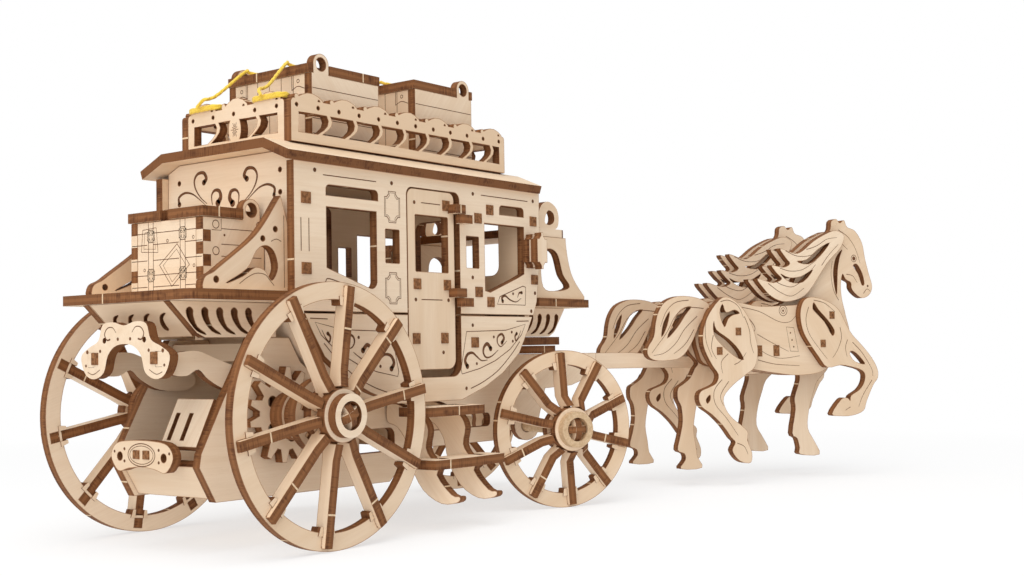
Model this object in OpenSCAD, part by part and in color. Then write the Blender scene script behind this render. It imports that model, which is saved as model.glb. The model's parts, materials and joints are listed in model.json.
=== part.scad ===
// Stagecoach model of laser-cut birch plywood with a two-horse team.
// X runs forward along the coach, Y to its left and Z up, in millimetres.
// The origin is on the ground, midway between the rear wheels.
// Every plate keeps the gap "play" from its neighbours and the gap "gap"
// from anything that moves past it.

/* [Sheet] */
// Thickness of every plywood plate
ply = 3.5; // [3:0.1:3.8]
// Gap between plates that are pressed together
play = 0.1; // [0.05:0.05:0.15]

/* [Wheels] */
// Outer radius of a rear wheel
rear_r = 46; // [44:0.5:48]
// Outer radius of a front wheel
front_r = 33.5; // [31:0.5:35.5]
// Radial width of a wheel rim
rim_w = 6.2; // [5.6:0.1:7]
// Number of spokes in each wheel
spokes = 10; // [8:2:12]
// Distance from the centre line to the outer face of a rear rim
rear_track = 52.7; // [51:0.1:56]
// Distance from the kingpin line to the outer face of a front rim
front_track = 51.9; // [51:0.1:56]
// Distance from the rear axle to the kingpin
wheelbase = 160.9; // [160:0.1:164]
// Radius of both axles
axle_r = 2.5; // [2:0.1:2.8]
// Angle of the front carriage as the model stands, negative to the right
steer_rest = -22.2; // [-26:0.1:0]

/* [Body] */
// Distance from the centre line to the outer face of a side wall
wall_y = 38.1; // [38:0.1:40]
// Height of the floor boards in front and behind
deck_z = 89.2; // [89:0.1:92]
// Height of the side walls' upper edge
wall_top = 135.3; // [135:0.1:138]
// Front edge of the roof
roof_front = 137.2; // [134:0.1:145]
// Height of the flat part of the roof
roof_z = 143.5; // [143.5:0.1:147]

/* [Luggage] */
// Height of the rail round the roof
rack_h = 15.7; // [14:0.1:18]
// Length of a chest, without its lid's overhang
chest_l = 36; // [32:0.5:38]
// Width of a roof chest
chest_w = 46; // [42:0.5:48]
// Height of a roof chest, lid included
chest_h = 34.4; // [32:0.1:38]
// Diameter of the lashing cord
cord_d = 1.4; // [1:0.1:1.8]

/* [Horses] */
// Distance from the pole to the middle of each horse
team_c = 21; // [21:0.1:24]

/* [Hidden] */

birch = [0.87, 0.78, 0.65];
yellow = [0.95, 0.78, 0.25];
gap = 0.3;                     // running clearance
pitch = ply + play;            // step from one plate to the next in a stack
inner_y = wall_y - ply;        // inner face of a side wall
rail_y = 24;                   // outer face of a chassis rail
arm_y = inner_y - play;        // outer face of the driver's arm rests
bracket_y = 32.3;              // outer face of the boot's scroll brackets
axle_z = rear_r;
body_mid = 66;                 // middle of the rounded body, along X
waist_z = 82.2;                // seam between side wall and belly
door_x = [53.6, 81.3];         // door edges
frame_x = [53.2, 84.8];        // doorway edges
hinge_x = 83.05;
knuckle_r = 2.1;               // round end of a hinge plate
pin_r = 0.8;
hinge_y = wall_y + play + knuckle_r;
hinge_z = [85, 118.4];         // foot of each hinge
rack_x = [1.2, 125];
rack_y = 30.4;                 // outer face of the side rails
rack_z = roof_z + play;
roof_rear = -10.3;
aft_x = 18.5;                  // rear face of the aft chest
aft_low = 2.3;                 // how much lower the aft chest is
fore_x = 112;                  // front face of the fore chest
lid_z = roof_z + chest_h;      // top of the fore chest
trunk_x = [-30.2, -2.6];
trunk_y = 19.8;
trunk_top = deck_z + 29.5;
belly_z = 47.9;                // underside of the body
king_r = 2.5;

// ---- curves -------------------------------------------------------------

// One point of a curve that runs smoothly from b to c past a and d
function between(a, b, c, d, t) = 0.5 * (2 * b + (c - a) * t
    + (2 * a - 5 * b + 4 * c - d) * t * t + (3 * b - a - 3 * c + d) * t * t * t);
// A smooth closed outline through the points of p, n steps from each to the next
function loop(p, n = 4) = let (k = len(p)) [for (i = [0:k - 1], j = [0:n - 1])
    between(p[(i + k - 1) % k], p[i], p[(i + 1) % k], p[(i + 2) % k], j / n)];
// Points of an arc
function arc(c, r, a, b, n = 6) = [for (i = [0:n]) let (t = a + (b - a) * i / n)
    [c[0] + r * cos(t), c[1] + r * sin(t)]];
// A rectangle with round corners, from its low to its high corner
function pane(lo, hi, r, n = 4) = concat(
    arc([hi[0] - r, hi[1] - r], r, 0, 90, n), arc([lo[0] + r, hi[1] - r], r, 90, 180, n),
    arc([lo[0] + r, lo[1] + r], r, 180, 270, n), arc([hi[0] - r, lo[1] + r], r, 270, 360, n));
// The points of p with X reversed about the line x = m, in reverse order
function flip(p, m = 0) = [for (i = [len(p) - 1:-1:0]) [2 * m - p[i][0], p[i][1]]];
// A comma-shaped slot with its round head at c, sweeping towards +X and down
function comma(c, s = 1) = loop([for (q = [[0, 1.6], [1.4, 0.6], [1.5, -1.4], [3.2, -5],
    [7.2, -7.6], [3, -6.4], [-0.4, -2.8], [-1.4, 0.4]]) [c[0] + s * q[0], c[1] + s * q[1]]], 3);

// ---- placing ------------------------------------------------------------

module across_y(y, t = ply) { translate([0, y + t, 0]) rotate([90, 0, 0]) linear_extrude(t) children(); }
module across_x(x, t = ply) { translate([x, 0, 0]) rotate([90, 0, 90]) linear_extrude(t) children(); }
module flat_z(z, t = ply) { translate([0, 0, z]) linear_extrude(t) children(); }
module both_sides() { children(); mirror([0, 1, 0]) children(); }
module left_side() { mirror([0, 1, 0]) children(); }
module steered() { translate([wheelbase, 0, 0]) rotate([0, 0, steer_rest]) children(); }
module rod_y(x, z, r, y0, y1) { translate([x, y1, z]) rotate([90, 0, 0]) cylinder(r = r, h = y1 - y0, $fn = 32); }

// ---- chassis and drive --------------------------------------------------

belly_curve = [[84.8, belly_z], [99.7, 52.6], [111.8, 58.2], [123, 66.2], [129, 75.3], [132.6, waist_z - 0.6]];
rail_outline = [[-28.9, 17.6], [57, 17.2], [72, 29], [126, 29], [134, 38], [134, 69.6], [127.4, 69.6],
    [121.5, 63], [111, 56.6], [99.2, 51.4], [84.6, belly_z - play], [47.4, belly_z - play],
    [32.8, 51.4], [21, 56.6], [10.5, 64.4], [5, 73.3], [-13, 73.3], [-20, 61], [-25, 52.7],
    [-35, 34.3], [-35.8, 29.7]];

module chassis() color(birch) {
    both_sides() across_y(-rail_y) difference() {
        polygon(rail_outline);
        translate([0, axle_z]) circle(axle_r + gap, $fn = 32);
        polygon(pane([22, 29], [60, 38], 3));
        polygon(pane([78, 35.5], [120, 41], 2));
        polygon(pane([30, 43], [44, 46], 1.2));
    }
    for (x = [60, 104]) across_x(x)
        polygon(pane([-rail_y + pitch, 31], [rail_y - pitch, 46.5], 1));
    flat_z(69.6 + play) polygon(concat([[128.4, rail_y], [128.4, -rail_y]],
        arc([170, -rail_y + 6], 6, -90, 0, 6), arc([170, rail_y - 6], 6, 0, 90, 6)));
    translate([wheelbase, 0, 58.6]) cylinder(r = king_r, h = 12.5, $fn = 32);
}

// Sloping cover plates between the rails, and the drum's shaft plate
module gearbox() color(birch) {
    half = rail_y - pitch;
    difference() {
        across_y(-half, half - 1) polygon([[-26.4, 52.4], [-34.2, 36.4], [-31, 34.9], [-23.2, 50.9]]);
        for (y = [-11.5, -4.5]) translate([-40, y - 1, 38.5]) cube([20, 2, 9]);
    }
    across_y(-half, 2 * half) polygon([[-34, 29.8], [-27.2, 18.4], [-24.2, 20.2], [-31, 31.6]]);
    flat_z(17.6) polygon(pane([-22, -half], [57, half], 1));
    translate([-10, -half, 21.6]) cube([ply, 2 * half, 12]);
    translate([14, -half, 21.6]) cube([30, 2 * half, 16]);
}

key_z = 33;
key_x = -37.6 - ply;
module winding_key() color(birch) {
    across_x(key_x) difference() {
        polygon(loop([[-17, key_z], [-14, key_z + 4.4], [-6, key_z + 5.6], [6, key_z + 5.6],
            [14, key_z + 4.4], [17, key_z], [13, key_z - 5], [7, key_z - 4], [0, key_z - 3.4],
            [-7, key_z - 4], [-13, key_z - 5]], 4));
        for (c = [-12, 12]) translate([c, key_z]) circle(1.5, $fn = 24);
    }
    across_x(key_x + pitch, 3) translate([-4, key_z - 3.4]) square([8, 6.6]);
}

// Bow-shaped plate on two scroll arms behind the body
module rear_bow() color(birch) {
    across_x(-48) difference() {
        polygon(loop([[0, 78], [-6, 79.2], [-12, 78.4], [-14.5, 73], [-20, 70.6], [-24.4, 67.5],
            [-22, 61.6], [-17, 59.8], [-11.5, 62], [-9, 68], [-4, 71.3], [4, 71.3], [9, 68],
            [11.5, 62], [17, 59.8], [22, 61.6], [24.4, 67.5], [20, 70.6], [14.5, 73], [12, 78.4], [6, 79.2]], 4));
        for (c = [-18.6, 18.6]) translate([c, 66.4]) square([ply + 0.2, 5.2], center = true);
        for (c = [-11, 11]) translate([c, 73]) circle(1, $fn = 20);
    }
    both_sides() across_y(-rail_y + play + ply) union() {
        translate([-48, 63.9]) square([3.8, 5]);
        polygon(loop([[-44.4, 61.6], [-38, 60.6], [-33, 62.6], [-28.5, 59], [-20, 55.2], [-8, 54.8],
            [-4, 58], [-8, 62.6], [-17, 63.6], [-26, 66.4], [-33, 68.8], [-40, 68.6], [-44.4, 67.4]], 4));
    }
    across_x(-12) polygon(pane([-rail_y + pitch + play, 65], [rail_y - pitch - play, 71.5], 1));
}

// ---- body ---------------------------------------------------------------

upper_wall = [[-5.2, waist_z + play], [133.6, waist_z + play], [136, 88], [138.9, 106],
    [139, wall_top], [-5.2, wall_top]];
// A slot with a flat foot and round upper corners
function transom(a, b, foot, top) = concat([[a, foot], [b, foot]], arc([b - 1.7, top - 1.7], 1.7, 0, 90, 4),
    arc([a + 1.7, top - 1.7], 1.7, 90, 180, 4));
windows = [transom(10.4, 37.4, 124, 127.9), transom(111, 127.7, 124.1, 128),
    pane([88.9, 101], [97, 113.9], 0.3, 1), pane([41.2, 101], [49, 113.8], 0.3, 1),
    concat([[36.5, 119.9], [10.5, 119.9], [10.5, 98]], arc([33.5, 94], 3, 255, 350, 4)),
    concat([[127.7, 119.9], [100.8, 119.9], [100.8, 92], [104, 91.4], [122.7, 97.9], [127.4, 99.8]])];

module doorway() polygon(concat(arc([frame_x[1] - 3, 127.9], 3, 0, 90), arc([frame_x[0] + 3, 127.9], 3, 90, 180),
    arc([frame_x[0] + 5, 62.4], 5, 180, 270), arc([frame_x[1] - 5, 62.4], 5, 270, 360)));

module side_wall() {
    across_y(-wall_y) difference() {
        polygon(upper_wall);
        for (w = windows) polygon(w);
        doorway();
    }
    across_y(-wall_y) difference() {
        polygon(concat(flip(belly_curve, body_mid), belly_curve));
        doorway();
    }
    for (z = hinge_z) wall_hinge(z);
}

// Flat plate with a round end about the hinge line and its other end at x = stop
module knuckle(z, stop, hole) flat_z(z) difference() {
    union() {
        translate([hinge_x, -hinge_y]) circle(knuckle_r, $fn = 32);
        translate([min(hinge_x, stop), -hinge_y - knuckle_r]) square([abs(stop - hinge_x), 2 * knuckle_r]);
    }
    translate([hinge_x, -hinge_y]) circle(hole, $fn = 24);
}
module wall_hinge(z) {
    knuckle(z, 88, pin_r + play);
    translate([hinge_x, -hinge_y, z]) cylinder(r = pin_r, h = 2 * ply + gap, $fn = 24);
}

module side_wall_right() color(birch) side_wall();
module side_wall_left() color(birch) left_side() side_wall();

module door() {
    across_y(-wall_y) difference() {
        polygon(concat(arc([door_x[1] - 3, 127.5], 3, 0, 90), arc([door_x[0] + 3, 127.5], 3, 90, 180),
            arc([door_x[0] + 4, 64.4], 4, 180, 270), arc([door_x[1] - 4, 64.4], 4, 270, 360)));
        polygon(pane([58, 98.4], [77.5, 120.5], 0.4, 1));
    }
    for (z = hinge_z) knuckle(z + ply + gap, 77.6, pin_r + gap);
}
module door_right() color(birch) door();
module door_left() color(birch) left_side() door();

// Height of the roof's underside at a distance y from the centre line
eave = [41.1, 138.1];
ridge_y = 28.4;
function under_roof(y) = roof_z - ply - 1.5 * play - max(0, y - ridge_y + 0.6)
    * (roof_z - ply - eave[1] + 3.2) / (eave[0] - ridge_y - 0.5);

module rear_wall() color(birch) across_x(-2.2) difference() {
    y = inner_y - play;
    polygon([[-y, deck_z + play], [y, deck_z + play], [y, under_roof(y)], [ridge_y - 0.6, under_roof(0)],
        [-ridge_y + 0.6, under_roof(0)], [-y, under_roof(y)]]);
    for (c = [-1, 1], z = [125, 133]) translate([c * 28, z]) circle(0.9, $fn = 20);
}

module front_wall() color(birch) across_x(127.9) difference() {
    y = inner_y - play;
    polygon([[-y, waist_z + 3.6], [y, waist_z + 3.6], [y, under_roof(y)], [ridge_y - 0.6, under_roof(0)],
        [-ridge_y + 0.6, under_roof(0)], [-y, under_roof(y)]]);
    polygon(pane([-24, 100], [24, 126], 4));
}

// Bottom sheet bent along the belly, between the side walls
module cabin_floor() color(birch) {
    across_y(-inner_y + play, 2 * (inner_y - play)) polygon(concat(
        [for (p = flip(belly_curve, body_mid)) [p[0] + 1, p[1] + 0.3]],
        [for (p = belly_curve) [p[0] - 1, p[1] + 0.3]],
        [for (i = [5:-1:0]) let (p = belly_curve[i]) [p[0] - 3.6, p[1] + 3]],
        [for (i = [0:5]) let (p = belly_curve[i]) [2 * body_mid - p[0] + 3.6, p[1] + 3]]));
}

module cabin_seats() color(birch) for (s = [[4, 25, 21.5], [105, 127.2, 105]]) {
    flat_z(84) translate([s[0], -inner_y + 3 * play]) square([s[1] - s[0], 2 * (inner_y - 3 * play)]);
    translate([s[2], -inner_y + 3 * play, 63]) cube([ply, 2 * (inner_y - 3 * play), 21 - play]);
}

module roof() color(birch) translate([roof_rear, 0, 0]) across_x(0, roof_front - roof_rear)
    polygon([[-eave[0], eave[1]], [-ridge_y, roof_z], [ridge_y, roof_z], [eave[0], eave[1]],
        [eave[0] - 1.1, eave[1] - 3.2], [ridge_y - 0.6, roof_z - ply],
        [-ridge_y + 0.6, roof_z - ply], [-eave[0] + 1.1, eave[1] - 3.2]]);

// ---- boot ---------------------------------------------------------------

module rear_deck() color(birch) flat_z(deck_z - ply)
    polygon(concat(arc([-46, 33], 3, 90, 180, 4), arc([-46, -33], 3, 180, 270, 4),
        [[-5.4, -wall_y], [-5.4, -inner_y + 2 * play], [2, -inner_y + 2 * play],
        [2, inner_y - 2 * play], [-5.4, inner_y - 2 * play], [-5.4, wall_y]]));

apron_top = deck_z - ply - play;
module apron_side(front) {
    across_y(-rail_y) difference() {
        polygon([[-47.6, apron_top], [-36.5, 75], [-33, 73.4], [front, 73.4], [front, apron_top]]);
        for (i = [0:4]) polygon(comma([-39.5 + 6.4 * i, 82]));
    }
}
// Sloping end plate between the sides, with its slots square to it
module apron_end() {
    half = rail_y - pitch;
    difference() {
        across_y(-half, 2 * half) polygon([[-47.2, apron_top], [-42.2, apron_top],
            [-32.8, 76.2], [-35.2, 73.8]]);
        translate([-44.6, 0, 80.2]) rotate([0, 44, 0]) for (i = [0:3])
            translate([0, 15.9 - i * 8.6, -6]) linear_extrude(14) rotate(-90) polygon(comma([0, 6.6], 0.9));
    }
}
module boot_apron() color(birch) { both_sides() apron_side(-1.2); apron_end(); }

module boot_brackets() color(birch) both_sides() across_y(-bracket_y) difference() {
    polygon(concat([[-2.5, deck_z + play], [-40.6, deck_z + play]],
        [for (t = [0:0.125:1]) between([-40.2, 70], [-40.8, 90.5], [-35.6, 95.4], [-25.8, 100.8], t)],
        [for (t = [0.125:0.125:1]) between([-40.8, 90.5], [-35.6, 95.4], [-17.4, 108.6], [-10, 120], t)],
        [for (t = [0.125:0.125:1]) between([-35.6, 95.4], [-17.4, 108.6], [-6, 123], [-1, 128], t)],
        [[-4.6, 119], [-2.5, 112]]));
    polygon(loop([[-31, 91.4], [-23.5, 94], [-18, 97.2], [-13.6, 96.4], [-10.4, 93], [-7.6, 97.5],
        [-9.4, 103.2], [-13.4, 105], [-17.4, 102.8], [-21.6, 96.6]], 4));
    translate([-35, 92.6]) circle(1.1, $fn = 20);
    for (q = [[-14.4, 107.4], [-8.6, 111]]) translate(q) circle(1, $fn = 20);
}

grip_r = 4;                    // outer radius of a handle loop
grip_up = 3.6;                 // its centre above the box
// A box of four walls and a bottom; two of the walls may rise into handle loops
module box(x, y, z, h, handles = []) {
    w = y - play;
    both_sides() across_y(-y) difference() {
        union() {
            translate([x[0], z]) square([x[1] - x[0], h]);
            for (c = handles) {
                translate([c - grip_r, z + h - 1]) square([2 * grip_r, grip_up + 1]);
                translate([c, z + h + grip_up]) circle(grip_r, $fn = 40);
            }
        }
        for (c = handles) translate([c, z + h + grip_up]) circle(grip_r - 1.4, $fn = 40);
    }
    for (u = [x[0], x[1] - ply]) across_x(u) translate([-y + pitch, z]) square([2 * (y - pitch), h]);
    translate([x[0] + pitch, -y + pitch, z])
        cube([x[1] - x[0] - 2 * pitch, 2 * (y - pitch), ply]);
}
// A flat lid with a notch round each handle loop
module lid(x, y, z, handles = [], slot = 2 * grip_r + 0.8) {
    flat_z(z) difference() {
        translate([x[0], -y]) square([x[1] - x[0], 2 * y]);
        for (c = handles, s = [-1, 1]) translate([c - grip_r - 0.4, s > 0 ? y - 5.2 : -y - 1]) square([slot, 6.2]);
    }
}
trunk_grip = [-8.5];
module boot_trunk() color(birch) box(trunk_x, trunk_y, deck_z + play, 25.7, trunk_grip);
module boot_lid() color(birch) {
    difference() {
        lid([trunk_x[0] - 0.8, -3.2], trunk_y + 0.9, trunk_top - ply, trunk_grip, 20);
        translate([trunk_x[0] - 1, -2.2, trunk_top - ply - 1]) cube([3, 4.5, ply + 2]);
    }
}

// ---- roof rack and luggage ---------------------------------------------

// Rail plate of length l: two beams joined by n bent balusters, with crests on
// top and a row of holes; the balusters leave the middle free for a medallion
beam = 3.6;
module rail(l, n, crests, holes, tall, medal = 0) {
    step = (l - 2 * beam) / (n + (medal > 0 ? 1.9 : 0.5));
    top = rack_h - 4.8;
    left = [for (i = [0:n]) i == 0 ? beam : beam + step * (i + (medal > 0 && i > n / 2 ? 0.9 : 0))];
    difference() {
        union() {
            polygon(concat([[0, 0], [l, 0]], arc([l - 1.5, rack_h - 1.5], 1.5, 0, 90, 4),
                arc([1.5, rack_h - 1.5], 1.5, 90, 180, 4)));
            for (i = [0:crests - 1]) crest(l * (i + 0.5) / crests, l / crests / 18, tall);
        }
        difference() {
            for (i = [0:n]) let (a = left[i], b = i == n ? l - beam : left[i + 1]) polygon(concat(
                [for (t = [0:0.25:1]) [a + (i == 0 ? 0 : 1 + bend(t)), beam + t * (top - beam)]],
                [for (t = [1:-0.25:0]) [b + (i == n ? 0 : -1 + bend(t)), beam + t * (top - beam)]]));
            if (medal > 0) translate([l / 2, (beam + top) / 2]) scale([0.62, 1]) circle(medal, $fn = 48);
        }
        for (i = [0:holes - 1]) translate([l * (i + 0.25) / (holes - 0.4), rack_h - 2.4]) circle(0.75, $fn = 16);
    }
}
// Low hump with a curl at its rear end and a hole at its front end
module crest(x, w, tall) difference() {
    polygon([for (q = [[7.6, -0.6], [6.9, 0.6], [4.8, 1.8], [2, 2.6], [-1, 2.5], [-3.4, 1.7], [-5.1, 0.9],
        [-5.9, 1.7], [-7, 1.5], [-7.4, 0.5], [-7, -0.6]]) [x + w * q[0], rack_h + tall * q[1]]]);
    translate([x + 5 * w, rack_h + 0.1]) circle(0.5, $fn = 16);
}
// Sideways bend of a baluster at a share t of its height
function bend(t) = 2.6 * sin(150 * t) - 3.2 * (1 - t) * (1 - t);

module rack_side() translate([rack_x[0], 0, rack_z]) across_y(-rack_y) rail(rack_x[1] - rack_x[0], 8, 7, 12, 1);
module rack_end(x) translate([0, rack_y - pitch, rack_z]) mirror([0, 1, 0]) across_x(x)
    rail(2 * (rack_y - pitch), 2, 3, 5, 1.3, 5.6);
module rack_right() color(birch) rack_side();
module rack_left() color(birch) left_side() rack_side();
module rack_rear() color(birch) rack_end(rack_x[0]);
module rack_front() color(birch) rack_end(rack_x[1] - ply);

aft = [aft_x, aft_x + chest_l];
fore = [fore_x - chest_l, fore_x];
chest_y = chest_w / 2;
aft_grip = [aft_x + 4.9];
fore_grip = [fore_x - 5.5];
module aft_chest() color(birch) box(aft, chest_y, rack_z, chest_h - aft_low - ply - 2 * play, aft_grip);
module fore_chest() color(birch) box(fore, chest_y, rack_z, chest_h - ply - 2 * play, fore_grip);
module aft_chest_lid() color(birch) lid([aft[0] - 0.6, aft[1] + 0.6], chest_y + 0.1, lid_z - aft_low - ply, aft_grip);
module fore_chest_lid() color(birch) lid([fore[0] - 0.6, fore[1] + 0.6], chest_y + 0.1, lid_z - ply, fore_grip);

// Cord from the rear rail over both lids to the front rail, on each side of the middle
over = lid_z + cord_d / 2 + play;
low = over - aft_low;
cord_route = [[rack_x[0] - 1.4, 15, rack_z + rack_h + 4.5], [rack_x[0] + 3.6, 14.5, rack_z + rack_h + 6.8], [aft[0] - 2, 11.5, low + play],
    [aft[0] + 1, 11, low], [aft[1] - 1, 6, low], [aft[1] + 2, 5, low + play],
    [(aft[1] + fore[0]) / 2, 3, over - 4], [fore[0] - 2, 5, over + play], [fore[0] + 1, 6, over],
    [fore[1] - 1, 10, over], [fore[1] + 2, 10.5, over + play],
    [rack_x[1] - 3, 12, rack_z + rack_h + 6.6], [rack_x[1] + 1.4, 12, rack_z + rack_h + 4.5]];
function ring(p, d, n = 8) = let (u = d / norm(d), s = cross(u, [0, 1, 0]), v = s / norm(s), w = cross(u, v))
    [for (i = [0:n - 1]) let (a = 360 * i / n) p + cord_d / 2 * (cos(a) * v + sin(a) * w)];
module cord(p, n = 8) {
    k = len(p);
    pts = [for (i = [0:k - 1]) each ring(p[i], p[min(i + 1, k - 1)] - p[max(i - 1, 0)], n)];
    polyhedron(pts, concat([[for (j = [0:n - 1]) j]], [[for (j = [n - 1:-1:0]) (k - 1) * n + j]],
        [for (i = [0:k - 2], j = [0:n - 1]) [i * n + j, (i + 1) * n + j,
            (i + 1) * n + (j + 1) % n, i * n + (j + 1) % n]]));
}
module lashing_cord() color(yellow) both_sides() cord(cord_route);

// ---- driver's place -----------------------------------------------------

seat_z = 117.5;
deck_front = 181;
module driver_seat() color(birch) {
    flat_z(seat_z) polygon(concat([[139.2, -arm_y], [139.2, arm_y]],
        arc([160.8, arm_y - 3], 3, 90, 0, 4), arc([160.8, -arm_y + 3], 3, 0, -90, 4)));
    both_sides() across_y(-arm_y) difference() {
        polygon(loop([[144, seat_z + pitch], [143.4, 127], [146.4, 131.6], [151.5, 133],
            [157, 130.4], [158.6, 125.6], [156, seat_z + pitch]], 4));
        polygon(loop([[148, 124], [150.4, 129], [154.6, 128], [155, 124.4], [151.4, 122.6]], 4));
    }
    both_sides() across_y(-arm_y) difference() {
        polygon(concat([[139.2, deck_z + 0.8]], [[139.2, seat_z - play], [163.6, seat_z - play]],
            [for (t = [0:0.125:1]) between([166, 130], [163.6, seat_z - play], [167.4, 102], [176, 93], t)],
            [for (t = [0.125:0.125:1]) between([163.6, 118], [167.4, 102], [177.6, 91.4], [180, 90], t)],
            [[177.6, deck_z + 0.8]]));
        polygon(loop([[146, 95], [145, 108], [150, 112], [157, 110], [161, 101], [166, 95.5], [156, 93.5]], 4));
    }
}
module footboard() color(birch) flat_z(deck_z - ply + 0.7)
    polygon(concat([[140, -wall_y + 1.5]], arc([deck_front - 3, -33], 3, -90, 0, 4),
        arc([deck_front - 3, 33], 3, 0, 90, 4), [[140, wall_y - 1.5], [140, inner_y - 1], [131.6, inner_y - 1],
        [131.6, -inner_y + 1], [140, -inner_y + 1]]));

module footboard_apron() color(birch) {
    top = deck_z - ply + 0.7 - play;
    both_sides() across_y(-rail_y) difference() {
        polygon([[134.2, 73.4], [164, 73.4], [168, 75.4], [176.5, top], [134.2, top]]);
        for (i = [0:4]) polygon(flip(comma([-170 + 6.4 * i, 82])));
    }
    half = rail_y - pitch;
    difference() {
        across_y(-half, 2 * half) polygon([[166.2, 73.8], [163.8, 76.2], [172, top], [176.4, top]]);
        translate([173.6, 0, 80.2]) rotate([0, -47, 0]) for (i = [-2:2])
            translate([0, i * 8, -6]) linear_extrude(14) rotate(90) polygon(comma([0, 6], 0.9));
    }
}

// ---- steps and lanterns -------------------------------------------------

step_outer = [50.5, 56.5];     // outer edge of the upper and the lower step
module steps() color(birch) both_sides() {
    for (x = [55, 77]) across_x(x) difference() {
        polygon(loop([[-rail_y - 0.9, 46.8], [-27, 47.4], [-31, 47.2], [-38, 44.6], [-43.4, 42.2], [-46, 37.6],
            [-44.8, 31], [-48, 26.6], [-53, 24.6], [-50, 21], [-57, 14], [-61, 13.4], [-60, 11.2],
            [-52, 10.4], [-43, 15], [-37, 24], [-34.6, 33], [-30, 38.6], [-rail_y - 0.9, 40.6]], 3));
    }
    flat_z(41.4 + 1.4) difference() {
        polygon(pane([50.6, -step_outer[0]], [85, -34], 2));
        for (x = [55, 77]) translate([x - play, -45.4]) square([ply + 2 * play, 20]);
    }
    flat_z(23.6) difference() {
        polygon([[47, -step_outer[1]], [66, -step_outer[1] - 1.5], [88, -step_outer[1]], [88, -44], [47, -44]]);
        for (x = [55, 77]) translate([x - play, -53.2]) square([ply + 2 * play, 20]);
    }
}

// Plaque with notched corners, from its low to its high corner
function plaque(lo, hi, c = 1) = [[lo[0] + 2 * c, lo[1]], [hi[0] - 2 * c, lo[1]], [hi[0] - 2 * c, lo[1] + c],
    [hi[0] - c, lo[1] + 2 * c], [hi[0], lo[1] + 2 * c], [hi[0], hi[1] - 2 * c], [hi[0] - c, hi[1] - 2 * c],
    [hi[0] - 2 * c, hi[1] - c], [hi[0] - 2 * c, hi[1]], [lo[0] + 2 * c, hi[1]], [lo[0] + 2 * c, hi[1] - c],
    [lo[0] + c, hi[1] - 2 * c], [lo[0], hi[1] - 2 * c], [lo[0], lo[1] + 2 * c], [lo[0] + c, lo[1] + 2 * c],
    [lo[0] + 2 * c, lo[1] + c]];
module lanterns() color(birch) both_sides() {
    across_y(-wall_y - pitch) polygon(plaque([126.6, 102.4], [135.6, 116.8], 1.2));
    across_y(-wall_y - 2 * pitch) polygon(plaque([127.6, 101.8], [134.6, 117.4], 1.4));
}

// ---- wheels -------------------------------------------------------------
// A wheel is drawn with its axle along Y at the height r, seen from -Y. The
// outer face of its rim is at y = -track; a distance w stands proud of it.

head_in = 4.9;                 // inner end of a spoke's tenon, from the rim's outside
head_out = 1.5;
rear_phase = 7.9;              // angle of the first spoke from upright
front_phase = -4.2;
rear_hub = -3.2;               // how far the rear hubs stand back from the front ones
module rim(r, track, phase) across_y(-track) difference() {
    translate([0, r]) circle(r, $fn = 96);
    translate([0, r]) circle(r - rim_w, $fn = 96);
    for (i = [0:spokes - 1]) translate([0, r]) rotate(-360 * i / spokes - phase)
        translate([-ply / 2 - play, r - head_in - play]) square([ply + 2 * play, head_in - head_out + 2 * play]);
}
// Spoke plate as points [distance from the axle, distance in front of the rim]
function spoke_profile(r, kink, hub) = [[5.8, hub + 0.35], [9.7, hub + 0.35], [9.9, hub - 0.6], [kink, -3.3], [r - rim_w - 0.3, -3.3],
    [r - rim_w - 0.3, play], [r - head_in, play], [r - head_in, -ply + 0.2], [r - head_out, -ply + 0.2],
    [r - head_out, play], [r - 0.9, play], [r - 1.1, 1.8], [kink, 1.9], [9.9, hub + 6], [9.7, hub + 3.05], [5.8, hub + 3.05]];
module spoke_set(r, track, phase, kink, hub = 0) {
    for (i = [0:spokes - 1]) translate([0, 0, r]) rotate([0, 360 * i / spokes + phase, 0])
        translate([-ply / 2, -track, 0]) rotate([90, 0, 90]) linear_extrude(ply)
            polygon([for (p = spoke_profile(r, kink, hub)) [-p[1], p[0]]]);
    for (w = [hub - 3.3, hub + 3.2]) across_y(-track - w - ply) translate([0, r]) difference() {
        circle(9.3, $fn = 64);
        circle(axle_r + play, $fn = 32);
    }
    across_y(-track - hub - 3.2 - 2 * ply - play, ply) translate([0, r]) difference() {
        circle(7.6, $fn = 48);
        circle(5, $fn = 32);
    }
}

module rear_rim_right() color(birch) rim(rear_r, rear_track, rear_phase);
module rear_rim_left() color(birch) left_side() rim(rear_r, rear_track, rear_phase);
module rear_spokes_right() color(birch) spoke_set(rear_r, rear_track, rear_phase, 15.5, rear_hub);
module rear_spokes_left() color(birch) left_side() spoke_set(rear_r, rear_track, rear_phase, 15.5, rear_hub);
module front_rim_right() color(birch) steered() rim(front_r, front_track, front_phase);
module front_rim_left() color(birch) steered() left_side() rim(front_r, front_track, front_phase);
module front_spokes_right() color(birch) steered() spoke_set(front_r, front_track, front_phase, 14);
module front_spokes_left() color(birch) steered() left_side() spoke_set(front_r, front_track, front_phase, 14);

// Outline of a gear with n teeth
function gear(n, r_tip, r_root) = [for (i = [0:n - 1]) each let (a = 360 / n) [
    [r_root * cos(i * a), r_root * sin(i * a)],
    [r_tip * cos((i + 0.22) * a), r_tip * sin((i + 0.22) * a)],
    [r_tip * cos((i + 0.5) * a), r_tip * sin((i + 0.5) * a)],
    [r_root * cos((i + 0.72) * a), r_root * sin((i + 0.72) * a)]]];

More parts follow.
